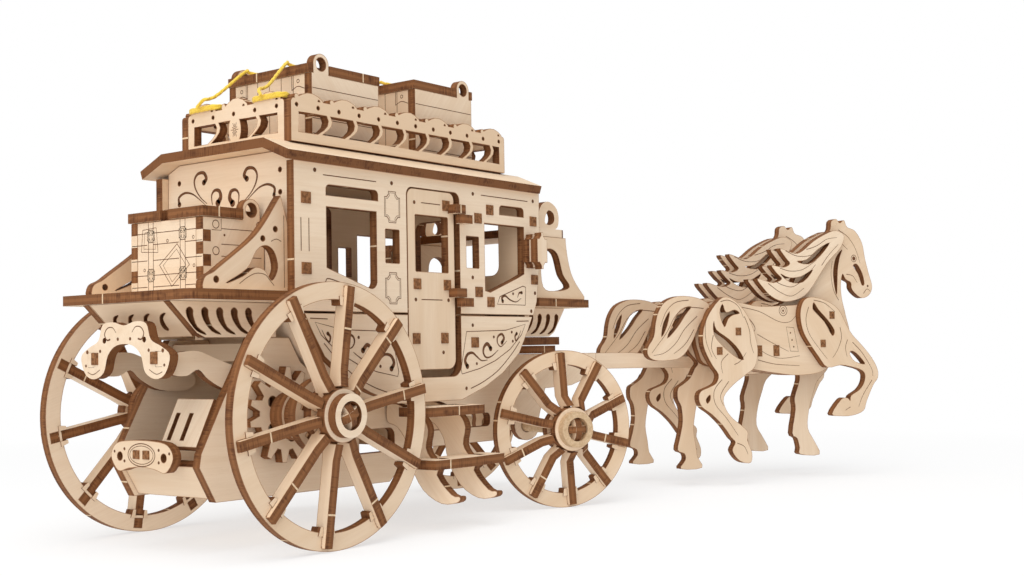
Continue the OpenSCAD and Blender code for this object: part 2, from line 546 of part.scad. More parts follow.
module rear_axle() color(birch) {
    rod_y(0, axle_z, axle_r, -rear_track - rear_hub - 8, rear_track + rear_hub + 8);
    across_y(-rail_y - gap - ply) translate([0, axle_z]) difference() {
        polygon(gear(14, 17, 12.6));
        circle(axle_r + play, $fn = 32);
        for (a = [0:72:359]) rotate(a) translate([8, 0]) circle(2, $fn = 24);
    }
    for (i = [1:3]) across_y(-rail_y - gap - ply - i * pitch) translate([0, axle_z]) difference() {
        circle(i == 2 ? 9 : 8, $fn = 48);
        circle(axle_r + play, $fn = 32);
    }
}

// Discs with square holes that turn with the rear wheels, inside them
module drive_discs() color(birch) both_sides() across_y(-rear_track - rear_hub + ply) translate([0, axle_z]) difference() {
    circle(13, $fn = 64);
    circle(axle_r + play, $fn = 32);
    for (a = [0:72:359]) rotate(a + 12) translate([8.6, 0]) square(3.6, center = true);
}

// ---- front carriage -----------------------------------------------------

plate_c = 20;                  // outer face of the carriage plates
module turntable() color(birch) steered() {
    flat_z(69.6 - gap - ply) difference() {
        circle(24, $fn = 96);
        circle(king_r + gap, $fn = 32);
    }
    both_sides() across_y(-plate_c) difference() {
        polygon(concat([[-16, 65.6], [-16, 56], [-8, 48]], arc([0, front_r], 6.5, 160, 380, 10),
            [[10, 50], [24, 51], [38, 56], [38, 65.6]]));
        translate([0, front_r]) circle(axle_r + gap, $fn = 32);
    }
    for (f = [-13, 26]) translate([f, -plate_c + pitch, 52]) cube([ply, 2 * (plate_c - pitch), 5.8]);
}
module front_axle() color(birch) steered() {
    rod_y(0, front_r, axle_r, -front_track - 8, front_track + 8);
}
pole_end = 180;
module pole() color(birch) steered() {
    both_sides() across_y(-pitch) difference() {
        polygon([[-11, 58.2], [-11, 65.6], [40, 65.6], [70, 65.4], [112, 62.4], [pole_end - 3, 62.4],
            [pole_end, 59.4], [pole_end - 3, 56.4], [70, 57.8]]);
        translate([0, 60]) square([2 * (king_r + gap), 20], center = true);
        translate([pole_end - 5, 59.4]) circle(1.5, $fn = 24);
    }
    for (f = [129.2, 140.4]) translate([f, -team_c - 5.35, 62.4 + play]) cube([ply, 2 * (team_c + 5.35), 5]);
}

// ---- horses -------------------------------------------------------------
// Outlines are [distance ahead of the kingpin, height]; a horse is a stack of
// plates about its own middle, its outer side towards -Y.

core_line = [[176, 56], [186, 60], [195.5, 71], [193.2, 83], [191, 91], [190.4, 98], [191.8, 104.2],
    [194, 101.6], [197.6, 99.8], [198, 96.8], [201, 93.8], [205.4, 91.8], [210.4, 93.4], [212.8, 98],
    [210.6, 105], [208.2, 113], [206.4, 121], [201.6, 127.2], [196.2, 129], [194, 132.6], [191, 131],
    [188.4, 133], [185, 131.6], [183.4, 126.4], [174, 120.6], [164, 110], [157, 98], [150, 88.8],
    [130, 86], [114, 87.6], [105.2, 86], [103.4, 78], [104, 64], [126, 59], [150, 55.4]];
crescent = [[192, 117], [187.8, 113], [185.6, 106.6], [185.7, 99.7], [187.3, 93.6], [188, 100], [188.6, 107],
    [190.2, 113]];
flank_line = [[104, 58.4], [126, 56], [140, 54], [156, 52.4], [172, 53.8], [181, 60], [183, 72], [177, 83],
    [164, 88], [150, 87.6], [132, 87.2], [118, 89.2], [107, 89.6], [100, 84], [97, 74], [98.6, 65]];
thigh = [[127, 66], [124.5, 76], [120, 84], [113, 90], [106, 91.4], [99.4, 86], [94.7, 79], [93, 71.5]];
outer_hind = concat(thigh, [[94.2, 65.6], [98.4, 58.6], [102, 54], [100.6, 50], [96, 48], [91, 46.2], [89.8, 42.6],
    [91.8, 38.6], [97.5, 35], [104, 29.4], [109, 23.4], [111.4, 21], [109.4, 17.4], [111.8, 13.6], [115.6, 11.2],
    [120.8, 10.8], [121.6, 15.6], [119, 21.6], [119.4, 25.6], [116, 28.8], [110.2, 32.6], [106, 37.5],
    [105, 43.2], [111, 48.8], [118, 53], [125, 57.4]]);
inner_hind = concat(thigh, [[96, 65], [101, 60], [99, 57], [96, 52.4], [91.4, 49.4], [88.4, 47.4], [88.2, 42.4],
    [90.2, 38.6], [90.8, 31.6], [89.2, 24.6], [87.4, 17.8], [91.4, 15.8], [92, 12.8], [89, 8.6], [102, 8.4],
    [99.4, 14], [98.6, 19.4], [97.4, 27.2], [98.4, 34.2], [100, 40], [103.4, 44.2], [112, 48.8], [119, 53],
    [125, 57.4]]);
shoulder = [[186.5, 78], [181, 86], [172, 90.4], [163, 91.8], [158, 90], [155.6, 85], [155.6, 79.4],
    [157.4, 73.6], [161, 68.4]];
outer_fore = concat(shoulder, [[167, 61.4], [172.6, 56], [182, 57], [191, 55.6], [196.4, 54], [198.6, 51.6],
    [197.6, 47.4], [194.2, 44], [188.4, 41.2], [187.6, 38.6], [186, 40], [181.6, 39.6], [174.8, 32.4],
    [180.2, 31], [189, 31], [196.8, 33.2], [199.2, 38], [204.2, 46.2], [207.6, 49.8], [207.6, 54.4], [203.6, 60.6],
    [196.8, 67.2], [190.4, 72.6]]);
inner_fore = concat(shoulder, [[163.6, 60], [166.2, 54], [166.6, 49.4], [163, 40.6], [163.4, 34.6], [160.8, 22.6],
    [164, 19.8], [165.4, 15], [165.8, 11.6], [179, 10.8], [175.6, 18], [171.4, 24.8], [172.6, 34.2],
    [176, 43], [179, 49], [186, 54.6], [190, 64]]);
mane_line = [[190.4, 124], [184.6, 126.6], [177, 124.4], [169, 120.6], [161.6, 115.6], [156, 114], [146.4, 116.4],
    [150, 111.6], [152.6, 108.8], [148, 106.8], [140.4, 107.8], [144, 103.6], [147, 101], [141, 99], [131, 101],
    [135, 96], [140, 92], [147, 89.6], [155, 90.2], [162, 92.6], [168.4, 98.4], [174, 105], [180, 111.4],
    [187.6, 117.6]];
mane_slits = [[[180, 120], [172, 116.6], [164, 111], [157, 110], [165, 108.8], [173, 113]],
    [[168, 106], [160, 102.4], [152, 101.6], [146, 103.6], [152, 99.6], [161, 99.6]]];
tail_line = [[103.2, 84.6], [103, 88.4], [96.5, 91.2], [88.2, 92.2], [81.9, 91.6], [76, 89], [72.4, 84.4], [70.6, 79.1],
    [69.4, 72.7], [65.7, 67.5], [66, 63.5], [70.1, 61.4], [77.4, 61.2], [84.8, 62.4], [90.2, 67.1], [94.4, 73.7],
    [98.2, 80.3]];
tail_slits = [[[92, 87], [85.6, 85.4], [81, 79], [77.4, 72], [83.4, 77], [88.4, 83]],
    [[79, 84.6], [75.2, 79], [74, 72.6], [77.4, 78]]];
tab = [ply + 2 * play, 5 + 2 * play];

// Two plates on both sides of the middle, the inner one first
module pair_at(inner) {
    across_y(inner, ply) children(0);
    across_y(-inner - ply, ply) children(1);
}
module crossbar_holes() for (f = [129.2, 140.4]) translate([f - play, 62.4]) square(tab);

module horse_body() across_y(-ply / 2) difference() {
    polygon(loop(core_line));
    polygon(loop(crescent));
    polygon(loop([[199.6, 108.6], [203, 104.4], [205.4, 98.8], [207.2, 99.4], [206, 104.6], [202.4, 109.6]], 3));
    crossbar_holes();
}
module horse_flanks() pair_at(ply / 2 + play) {
    difference() { polygon(loop(flank_line)); crossbar_holes(); }
    difference() { polygon(loop(flank_line)); crossbar_holes(); }
}
thigh_cuts = [[[100, 80], [101.4, 75.6], [109, 71], [114.8, 66], [117.8, 61], [113, 62.4], [105.4, 67.6], [100, 73.4]],
    [[105.6, 88], [103.8, 83.6], [106.4, 77], [108.8, 80.8], [112, 82.8], [116, 83.6], [113, 85.2], [107.6, 84]]];
shoulder_cut = [[164.6, 89], [163.8, 86], [165.6, 84], [171.6, 79], [175.4, 73.4], [177.2, 72.2], [178, 75],
    [173.6, 80.2], [167.6, 85.4]];
module horse_hind_legs() pair_at(ply / 2 + pitch + play) {
    difference() {
        polygon(loop(inner_hind, 3));
        for (c = thigh_cuts) polygon(loop(c, 3));
    }
    difference() {
        polygon(loop(outer_hind, 3));
        for (c = thigh_cuts) polygon(loop(c, 3));
        polygon(loop([[96.6, 44.4], [94.2, 42.4], [94.8, 40.4], [96.6, 42]], 3));
    }
}
module horse_forelegs() pair_at(ply / 2 + pitch + play) {
    difference() {
        polygon(loop(inner_fore, 3));
        polygon(loop(shoulder_cut, 3));
    }
    difference() {
        polygon(loop(outer_fore, 3));
        polygon(loop(shoulder_cut, 3));
        polygon(loop([[189, 64], [188.6, 62], [192, 58.6], [198.6, 57.2], [196, 60.4], [192, 63.4]], 3));
    }
}
module mane_plate() difference() {
    polygon(loop(mane_line, 3));
    for (s = mane_slits) polygon(loop(s, 3));
}
module horse_mane() pair_at(ply / 2 + play) { mane_plate(); mane_plate(); }
module horse_tail() across_y(-ply / 2) difference() {
    polygon(loop(tail_line, 3));
    for (s = tail_slits) polygon(loop(s, 3));
}

module right_horse() steered() translate([0, -team_c, 0]) children();
module left_horse() steered() translate([0, team_c - 2, 0]) children();
module right_horse_body() color(birch) right_horse() horse_body();
module right_horse_flanks() color(birch) right_horse() horse_flanks();
module right_horse_hind_legs() color(birch) right_horse() horse_hind_legs();
module right_horse_forelegs() color(birch) right_horse() horse_forelegs();
module right_horse_mane() color(birch) right_horse() horse_mane();
module right_horse_tail() color(birch) right_horse() horse_tail();
module left_horse_body() color(birch) left_horse() horse_body();
module left_horse_flanks() color(birch) left_horse() horse_flanks();
module left_horse_hind_legs() color(birch) left_horse() horse_hind_legs();
module left_horse_forelegs() color(birch) left_horse() horse_forelegs();
module left_horse_mane() color(birch) left_horse() horse_mane();
module left_horse_tail() color(birch) left_horse() horse_tail();

chassis();
gearbox();
winding_key();
rear_bow();
side_wall_right();
side_wall_left();
rear_wall();
front_wall();
cabin_floor();
cabin_seats();
roof();
rear_deck();
boot_apron();
boot_brackets();
boot_trunk();
boot_lid();
rack_right();
rack_left();
rack_rear();
rack_front();
aft_chest();
aft_chest_lid();
fore_chest();
fore_chest_lid();
lashing_cord();
driver_seat();
footboard();
footboard_apron();
steps();
lanterns();
door_right();
door_left();
rear_axle();
drive_discs();
rear_rim_right();
rear_spokes_right();
rear_rim_left();
rear_spokes_left();
front_rim_right();
front_spokes_right();
front_rim_left();
front_spokes_left();
turntable();
front_axle();
pole();
right_horse_body();
right_horse_flanks();
right_horse_hind_legs();
right_horse_forelegs();
right_horse_mane();
right_horse_tail();
left_horse_body();
left_horse_flanks();
left_horse_hind_legs();
left_horse_forelegs();
left_horse_mane();
left_horse_tail();
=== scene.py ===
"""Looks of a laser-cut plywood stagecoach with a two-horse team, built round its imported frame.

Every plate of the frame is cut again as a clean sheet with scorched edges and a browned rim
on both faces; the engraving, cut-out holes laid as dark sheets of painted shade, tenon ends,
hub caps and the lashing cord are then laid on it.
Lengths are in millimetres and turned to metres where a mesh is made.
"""

import json
import logging
import math
from dataclasses import dataclass, field
from enum import Enum

import bpy
import numpy as np
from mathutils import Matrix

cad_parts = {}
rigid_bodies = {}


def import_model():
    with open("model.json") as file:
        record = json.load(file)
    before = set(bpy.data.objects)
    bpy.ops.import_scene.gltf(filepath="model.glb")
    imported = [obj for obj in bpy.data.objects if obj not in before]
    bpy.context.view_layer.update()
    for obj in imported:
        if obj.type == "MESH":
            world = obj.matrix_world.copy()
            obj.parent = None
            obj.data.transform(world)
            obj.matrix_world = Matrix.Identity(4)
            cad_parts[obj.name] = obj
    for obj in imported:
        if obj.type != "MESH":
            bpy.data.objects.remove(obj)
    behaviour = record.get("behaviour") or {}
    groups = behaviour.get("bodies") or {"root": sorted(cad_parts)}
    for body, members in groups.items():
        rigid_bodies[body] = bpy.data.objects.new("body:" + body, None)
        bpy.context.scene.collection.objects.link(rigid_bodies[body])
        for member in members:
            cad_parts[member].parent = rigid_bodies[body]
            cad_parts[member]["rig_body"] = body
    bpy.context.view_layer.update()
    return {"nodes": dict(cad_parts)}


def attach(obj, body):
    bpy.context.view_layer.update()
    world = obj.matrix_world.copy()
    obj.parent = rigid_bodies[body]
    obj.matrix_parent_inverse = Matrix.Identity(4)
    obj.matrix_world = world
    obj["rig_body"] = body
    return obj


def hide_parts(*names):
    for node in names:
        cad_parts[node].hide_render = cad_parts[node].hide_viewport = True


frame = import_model()
log = logging.getLogger("stagecoach")

MM = 0.001
Array = np.ndarray
Node = bpy.types.Node
Material = bpy.types.Material
Triple = tuple[float, float, float]

PLY = 3.5
WALL_Y = 38.1
BODY_MID = 66.0
RIM_WIDTH = 6.2
ALONG = (1.0, 0.0, 0.0)
TO_THE_RIGHT = (0.0, -1.0, 0.0)
UP = np.array([0.0, 0.0, 1.0])
STEER = math.radians(-22.2)
KINGPIN = np.array([160.9, 0.0, 0.0])
AHEAD = np.array([math.cos(STEER), math.sin(STEER), 0.0])
LEFT = np.array([-math.sin(STEER), math.cos(STEER), 0.0])


# ---- finishes ------------------------------------------------------------

class Part(Enum):
    """The finishes that a sheet's faces take, in the order of its material slots."""

    FACE = 0
    EDGE = 1
    NICK = 2
    # Engraving, and cut-out holes drawn as dark sheets: their dark is the burnt hole wall plus painted shade
    # seen through the hole.
    ENGRAVING_AND_HOLE_SHADE = 3
    TENON = 4
    DOWEL = 5


class Nodes:
    """A short way to build a material's node tree."""

    def __init__(self, name: str) -> None:
        """Starts an empty material.

        Args:
            name: The material's name.
        """
        self.material = bpy.data.materials.new(name)
        self.material.use_nodes = True
        self.tree = self.material.node_tree
        self.tree.nodes.clear()
        self.output = self.tree.nodes.new("ShaderNodeOutputMaterial")
        self.shader = self.tree.nodes.new("ShaderNodeBsdfPrincipled")
        self.link(self.shader, "BSDF", self.output, "Surface")

    def node(self, kind: str, **values: object) -> Node:
        """Adds a node and sets its sockets or, where it has no such socket, its settings.

        Args:
            kind: The node's type name.
            values: Sockets or settings and what they are set to.

        Returns:
            The new node.
        """
        made = self.tree.nodes.new(kind)
        for key, value in values.items():
            name = key.replace("_", " ")
            if name in made.inputs:
                made.inputs[name].default_value = value
            else:
                setattr(made, key, value)
        return made

    @staticmethod
    def colour_output(source: Node) -> int:
        """The number of the output that carries a node's colour."""
        return 2 if source.bl_idname == "ShaderNodeMix" else 0

    def link(self, a: Node, out: str | int, b: Node, into: str | int) -> None:
        """Joins output out of node a to input into of node b."""
        self.tree.links.new(a.outputs[out], b.inputs[into])

    def attribute(self, name: str) -> Node:
        """A node that reads one of the mesh's attributes."""
        return self.node("ShaderNodeAttribute", attribute_name=name)

    def stretched(self, source: Node, out: str, scale: Triple) -> Node:
        """Scales a vector, so that a pattern on it is drawn out along the small scale.

        Args:
            source: The node that gives the vector.
            out: Its output.
            scale: How much each axis is scaled.

        Returns:
            The mapping node.
        """
        mapping = self.node("ShaderNodeMapping")
        mapping.inputs["Scale"].default_value = scale
        self.link(source, out, mapping, "Vector")
        return mapping

    def noise(self, vector: Node, scale: float, detail: float = 3.0, rough: float = 0.6) -> Node:
        """Fractal noise on a vector.

        Args:
            vector: The node that gives the vector.
            scale: How fine the pattern is.
            detail: How many octaves it has.
            rough: How strong the finer octaves are.

        Returns:
            The noise node.
        """
        made = self.node("ShaderNodeTexNoise", Scale=scale, Detail=detail, Roughness=rough)
        self.link(vector, 0, made, "Vector")
        return made

    def ramp(self, source: Node, out: str, stops: list[tuple[float, tuple]]) -> Node:
        """A colour ramp with the given stops.

        Args:
            source: The node that gives the value.
            out: Its output.
            stops: Pairs of a position and a colour.

        Returns:
            The ramp node.
        """
        made = self.node("ShaderNodeValToRGB")
        band = made.color_ramp
        while len(band.elements) < len(stops):
            band.elements.new(0.5)
        for element, (position, colour) in zip(band.elements, stops):
            element.position = position
            element.color = (*colour, 1.0)
        self.link(source, out, made, "Fac")
        return made

    def mix(self, factor: tuple[Node, str] | float, a: object, b: object) -> Node:
        """Mixes two colours, each a node or a plain colour.

        Args:
            factor: The share of b, as a (node, output) pair or a number.
            a: The first colour.
            b: The second colour.

        Returns:
            The mix node.
        """
        made = self.node("ShaderNodeMix", data_type="RGBA")
        if isinstance(factor, tuple):
            self.tree.links.new(factor[0].outputs[factor[1]], made.inputs[0])
        else:
            made.inputs[0].default_value = factor
        for socket, value in ((6, a), (7, b)):
            if isinstance(value, tuple):
                made.inputs[socket].default_value = (*value, 1.0)
            else:
                self.tree.links.new(value.outputs[self.colour_output(value)], made.inputs[socket])
        return made

    def math(self, operation: str, a: object, b: object = 0.5) -> Node:
        """One step of arithmetic on two values, each a (node, output) pair or a number.

        Args:
            operation: The operation's name.
            a: The first value.
            b: The second value.

        Returns:
            The arithmetic node.
        """
        made = self.node("ShaderNodeMath", operation=operation)
        for index, value in enumerate((a, b)):
            if isinstance(value, tuple):
                self.tree.links.new(value[0].outputs[value[1]], made.inputs[index])
            else:
                made.inputs[index].default_value = value
        return made

    def colour(self, source: Node) -> None:
        """Joins a colour to the shader."""
        out = self.colour_output(source)
        self.tree.links.new(source.outputs[out], self.shader.inputs["Base Color"])

    def bump(self, height: Node, out: str, strength: float, distance: float) -> None:
        """Joins a bump made from a height to the shader.

        Args:
            height: The node that gives the height.
            out: Its output.
            strength: How much of the bump is used.
            distance: The height in metres that a value of 1 stands for.
        """
        made = self.node("ShaderNodeBump", Strength=strength, Distance=distance)
        self.link(height, out, made, "Height")
        self.link(made, "Normal", self.shader, "Normal")


@dataclass(frozen=True)
class BirchFace:
    """The pale face veneer of birch plywood, browned towards a cut."""

    light: Triple = (0.85, 0.68, 0.505)
    dark: Triple = (0.745, 0.55, 0.37)
    pore: Triple = (0.62, 0.45, 0.30)
    scorch: Triple = (0.33, 0.15, 0.06)

    def material(self) -> Material:
        """Long faint streaks along the grain, short pores in it, and a scorched rim.

        Returns:
            The material of both faces.
        """
        n = Nodes("birch face")
        sheet = n.attribute("sheet")
        broad = n.noise(n.stretched(sheet, "Vector", (0.012, 0.16, 0.16)), 1.0, 4.0)
        streaks = n.noise(n.stretched(sheet, "Vector", (0.06, 1.3, 1.3)), 1.0, 5.0, 0.7)
        pores = n.noise(n.stretched(sheet, "Vector", (0.35, 5.0, 5.0)), 1.0, 2.0)
        tone = n.attribute("tone")
        shift = n.math("MULTIPLY_ADD", (tone, "Fac"), 0.5)
        shift.inputs[2].default_value = -0.25
        level = n.math("ADD", (broad, "Fac"), (shift, 0))
        patchy = n.ramp(level, "Value", [(0.3, (0, 0, 0)), (0.75, (1, 1, 1))])
        veneer = n.mix((patchy, "Color"), self.light, self.dark)
        fine = n.ramp(streaks, "Fac", [(0.42, (0, 0, 0)), (0.8, (0.55, 0.55, 0.55))])
        veneer = n.mix((fine, "Color"), veneer, self.dark)
        deep = n.ramp(pores, "Fac", [(0.62, (0, 0, 0)), (0.8, (0.45, 0.45, 0.45))])
        veneer = n.mix((deep, "Color"), veneer, self.pore)
        burn = n.attribute("burn")
        smoke = n.math("MULTIPLY_ADD", (streaks, "Fac"), 0.5)
        n.tree.links.new(burn.outputs["Fac"], smoke.inputs[2])
        rim = n.ramp(smoke, "Value", [(0.55, (0, 0, 0)), (1.15, (0.85, 0.85, 0.85))])
        n.colour(n.mix((rim, "Color"), veneer, self.scorch))
        n.shader.inputs["Roughness"].default_value = 0.62
        n.shader.inputs["Specular IOR Level"].default_value = 0.25
        n.bump(streaks, "Fac", 0.25, 0.00012)
        return n.material


@dataclass(frozen=True)
class BurntEdge:
    """A sheet's cut edge, browned by the laser, with its plies just showing."""

    light: Triple = (0.255, 0.105, 0.038)
    dark: Triple = (0.092, 0.031, 0.011)

    def material(self) -> Material:
        """Streaks that run through the sheet, over three plies.

        Returns:
            The material of the cut edges.
        """
        n = Nodes("burnt edge")
        sheet = n.attribute("sheet")
        streak = n.noise(n.stretched(sheet, "Vector", (1.6, 1.6, 0.12)), 1.0, 4.0, 0.65)
        cloud = n.noise(n.stretched(sheet, "Vector", (0.09, 0.09, 0.3)), 1.0, 2.0)
        both = n.math("ADD", (streak, "Fac"), (cloud, "Fac"))
        char = n.ramp(both, "Value", [(0.72, self.dark), (1.25, self.light)])
        parts = n.node("ShaderNodeSeparateXYZ")
        n.link(sheet, "Vector", parts, "Vector")
        depth = n.math("ABSOLUTE", (parts, "Z"))
        core = n.ramp(depth, "Value", [(0.5, (0, 0, 0)), (0.62, (0.35, 0.35, 0.35))])
        n.colour(n.mix((core, "Color"), char, self.dark))
        n.shader.inputs["Roughness"].default_value = 0.72
        n.shader.inputs["Specular IOR Level"].default_value = 0.2
        n.bump(streak, "Fac", 0.4, 0.0001)
        return n.material


@dataclass(frozen=True)
class PlainWood:
    """A small area of one wood tone with fine streaks: a nick, the engraving and the painted shade of cut-out
    holes, a tenon's end or a dowel.
    """

    name: str
    light: Triple
    dark: Triple
    rough: float = 0.7

    def material(self) -> Material:
        """Fine noise between the two tones.

        Returns:
            A material of one kind of wood.
        """
        n = Nodes(self.name)
        place = n.node("ShaderNodeTexCoord")
        noise = n.noise(n.stretched(place, "Object", (900.0, 900.0, 900.0)), 1.0, 3.0)
        n.colour(n.ramp(noise, "Fac", [(0.35, self.dark), (0.65, self.light)]))
        n.shader.inputs["Roughness"].default_value = self.rough
        n.shader.inputs["Specular IOR Level"].default_value = 0.2
        return n.material


@dataclass(frozen=True)
class YellowCord:
    """Twisted yellow cotton cord."""

    light: Triple = (0.93, 0.66, 0.07)
    dark: Triple = (0.62, 0.38, 0.02)

    def material(self) -> Material:
        """Fibres that follow the strand's own map.

        Returns:
            The cord's material.
        """
        n = Nodes("yellow cord")
        strand = n.attribute("sheet")
        noise = n.noise(n.stretched(strand, "Vector", (1.2, 2.4, 1.0)), 1.0, 4.0)
        n.colour(n.ramp(noise, "Fac", [(0.3, self.dark), (0.62, self.light)]))
        n.shader.inputs["Roughness"].default_value = 0.85
        n.shader.inputs["Sheen Weight"].default_value = 0.3
        n.bump(noise, "Fac", 0.5, 0.0001)
        return n.material


class Workshop:
    """Holds the finishes, so that each is made once."""

    def __init__(self) -> None:
        """Makes every finish."""
        self.sheet = [
            BirchFace().material(),
            BurntEdge().material(),
            PlainWood("uncut nick", (0.80, 0.62, 0.42), (0.70, 0.50, 0.31)).material(),
            # Dark of the engraving, also laid over cut-out holes, where it is painted shade seen through
            # them.
            PlainWood("engraving and hole shade", (0.19, 0.08, 0.035), (0.10, 0.04, 0.016)).material(),
            PlainWood("tenon end", (0.33, 0.15, 0.06), (0.13, 0.05, 0.018)).material(),
            PlainWood("beech dowel", (0.66, 0.48, 0.30), (0.52, 0.35, 0.20)).material(),
        ]
        self.cord = YellowCord().material()


# ---- meshes --------------------------------------------------------------

@dataclass
class Shape:
    """Points, triangles and what each carries, gathered before a mesh is made."""

    points: Array
    triangles: Array
    part: Array
    sheet: Array
    burn: Array
    tone: Array

    @staticmethod
    def join(shapes: list["Shape"]) -> "Shape":
        """One shape from several, with the triangles renumbered.

        Args:
            shapes: What is put together.

        Returns:
            All of them as one.
        """
        starts = np.cumsum([0] + [len(s.points) for s in shapes[:-1]])
        return Shape(
            np.concatenate([s.points for s in shapes]),
            np.concatenate([s.triangles + k for s, k in zip(shapes, starts)]),
            np.concatenate([s.part for s in shapes]),
            np.concatenate([s.sheet for s in shapes]),
            np.concatenate([s.burn for s in shapes]),
            np.concatenate([s.tone for s in shapes]),
        )

    def mesh(self, name: str, materials: list[Material]) -> bpy.types.Object:
        """Makes the object.

        Args:
            name: The object's name.
            materials: The finishes in the order of Part.

        Returns:
            The object, at the origin.
        """
        data = bpy.data.meshes.new(name)
        count = len(self.triangles)
        data.vertices.add(len(self.points))
        data.vertices.foreach_set("co", self.points.astype(np.float32).ravel())
        data.loops.add(count * 3)
        data.loops.foreach_set("vertex_index", self.triangles.astype(np.int32).ravel())
        data.polygons.add(count)
        data.polygons.foreach_set("loop_start", np.arange(0, count * 3, 3, dtype=np.int32))
        for material in materials:
            data.materials.append(material)
        data.polygons.foreach_set("material_index", self.part.astype(np.int32))
        data.polygons.foreach_set("use_smooth", np.ones(count, bool))
        data.update(calc_edges=True)
        self._attribute(data, "sheet", "FLOAT_VECTOR", "vector", self.sheet)
        self._attribute(data, "burn", "FLOAT", "value", self.burn)
        self._attribute(data, "tone", "FLOAT", "value", self.tone)
        data.set_sharp_from_angle(angle=math.radians(34))
        made = bpy.data.objects.new(name, data)
        bpy.context.scene.collection.objects.link(made)
        return made

    @staticmethod
    def _attribute(data: bpy.types.Mesh, name: str, kind: str, field_name: str, values: Array) -> None:
        """Stores one value per point."""
        layer = data.attributes.new(name, kind, "POINT")
        layer.data.foreach_set(field_name, values.astype(np.float32).ravel())


def unit(v: Array) -> Array:
    """Vectors made one long."""
    return v / np.maximum(np.linalg.norm(v, axis=-1, keepdims=True), 1e-12)


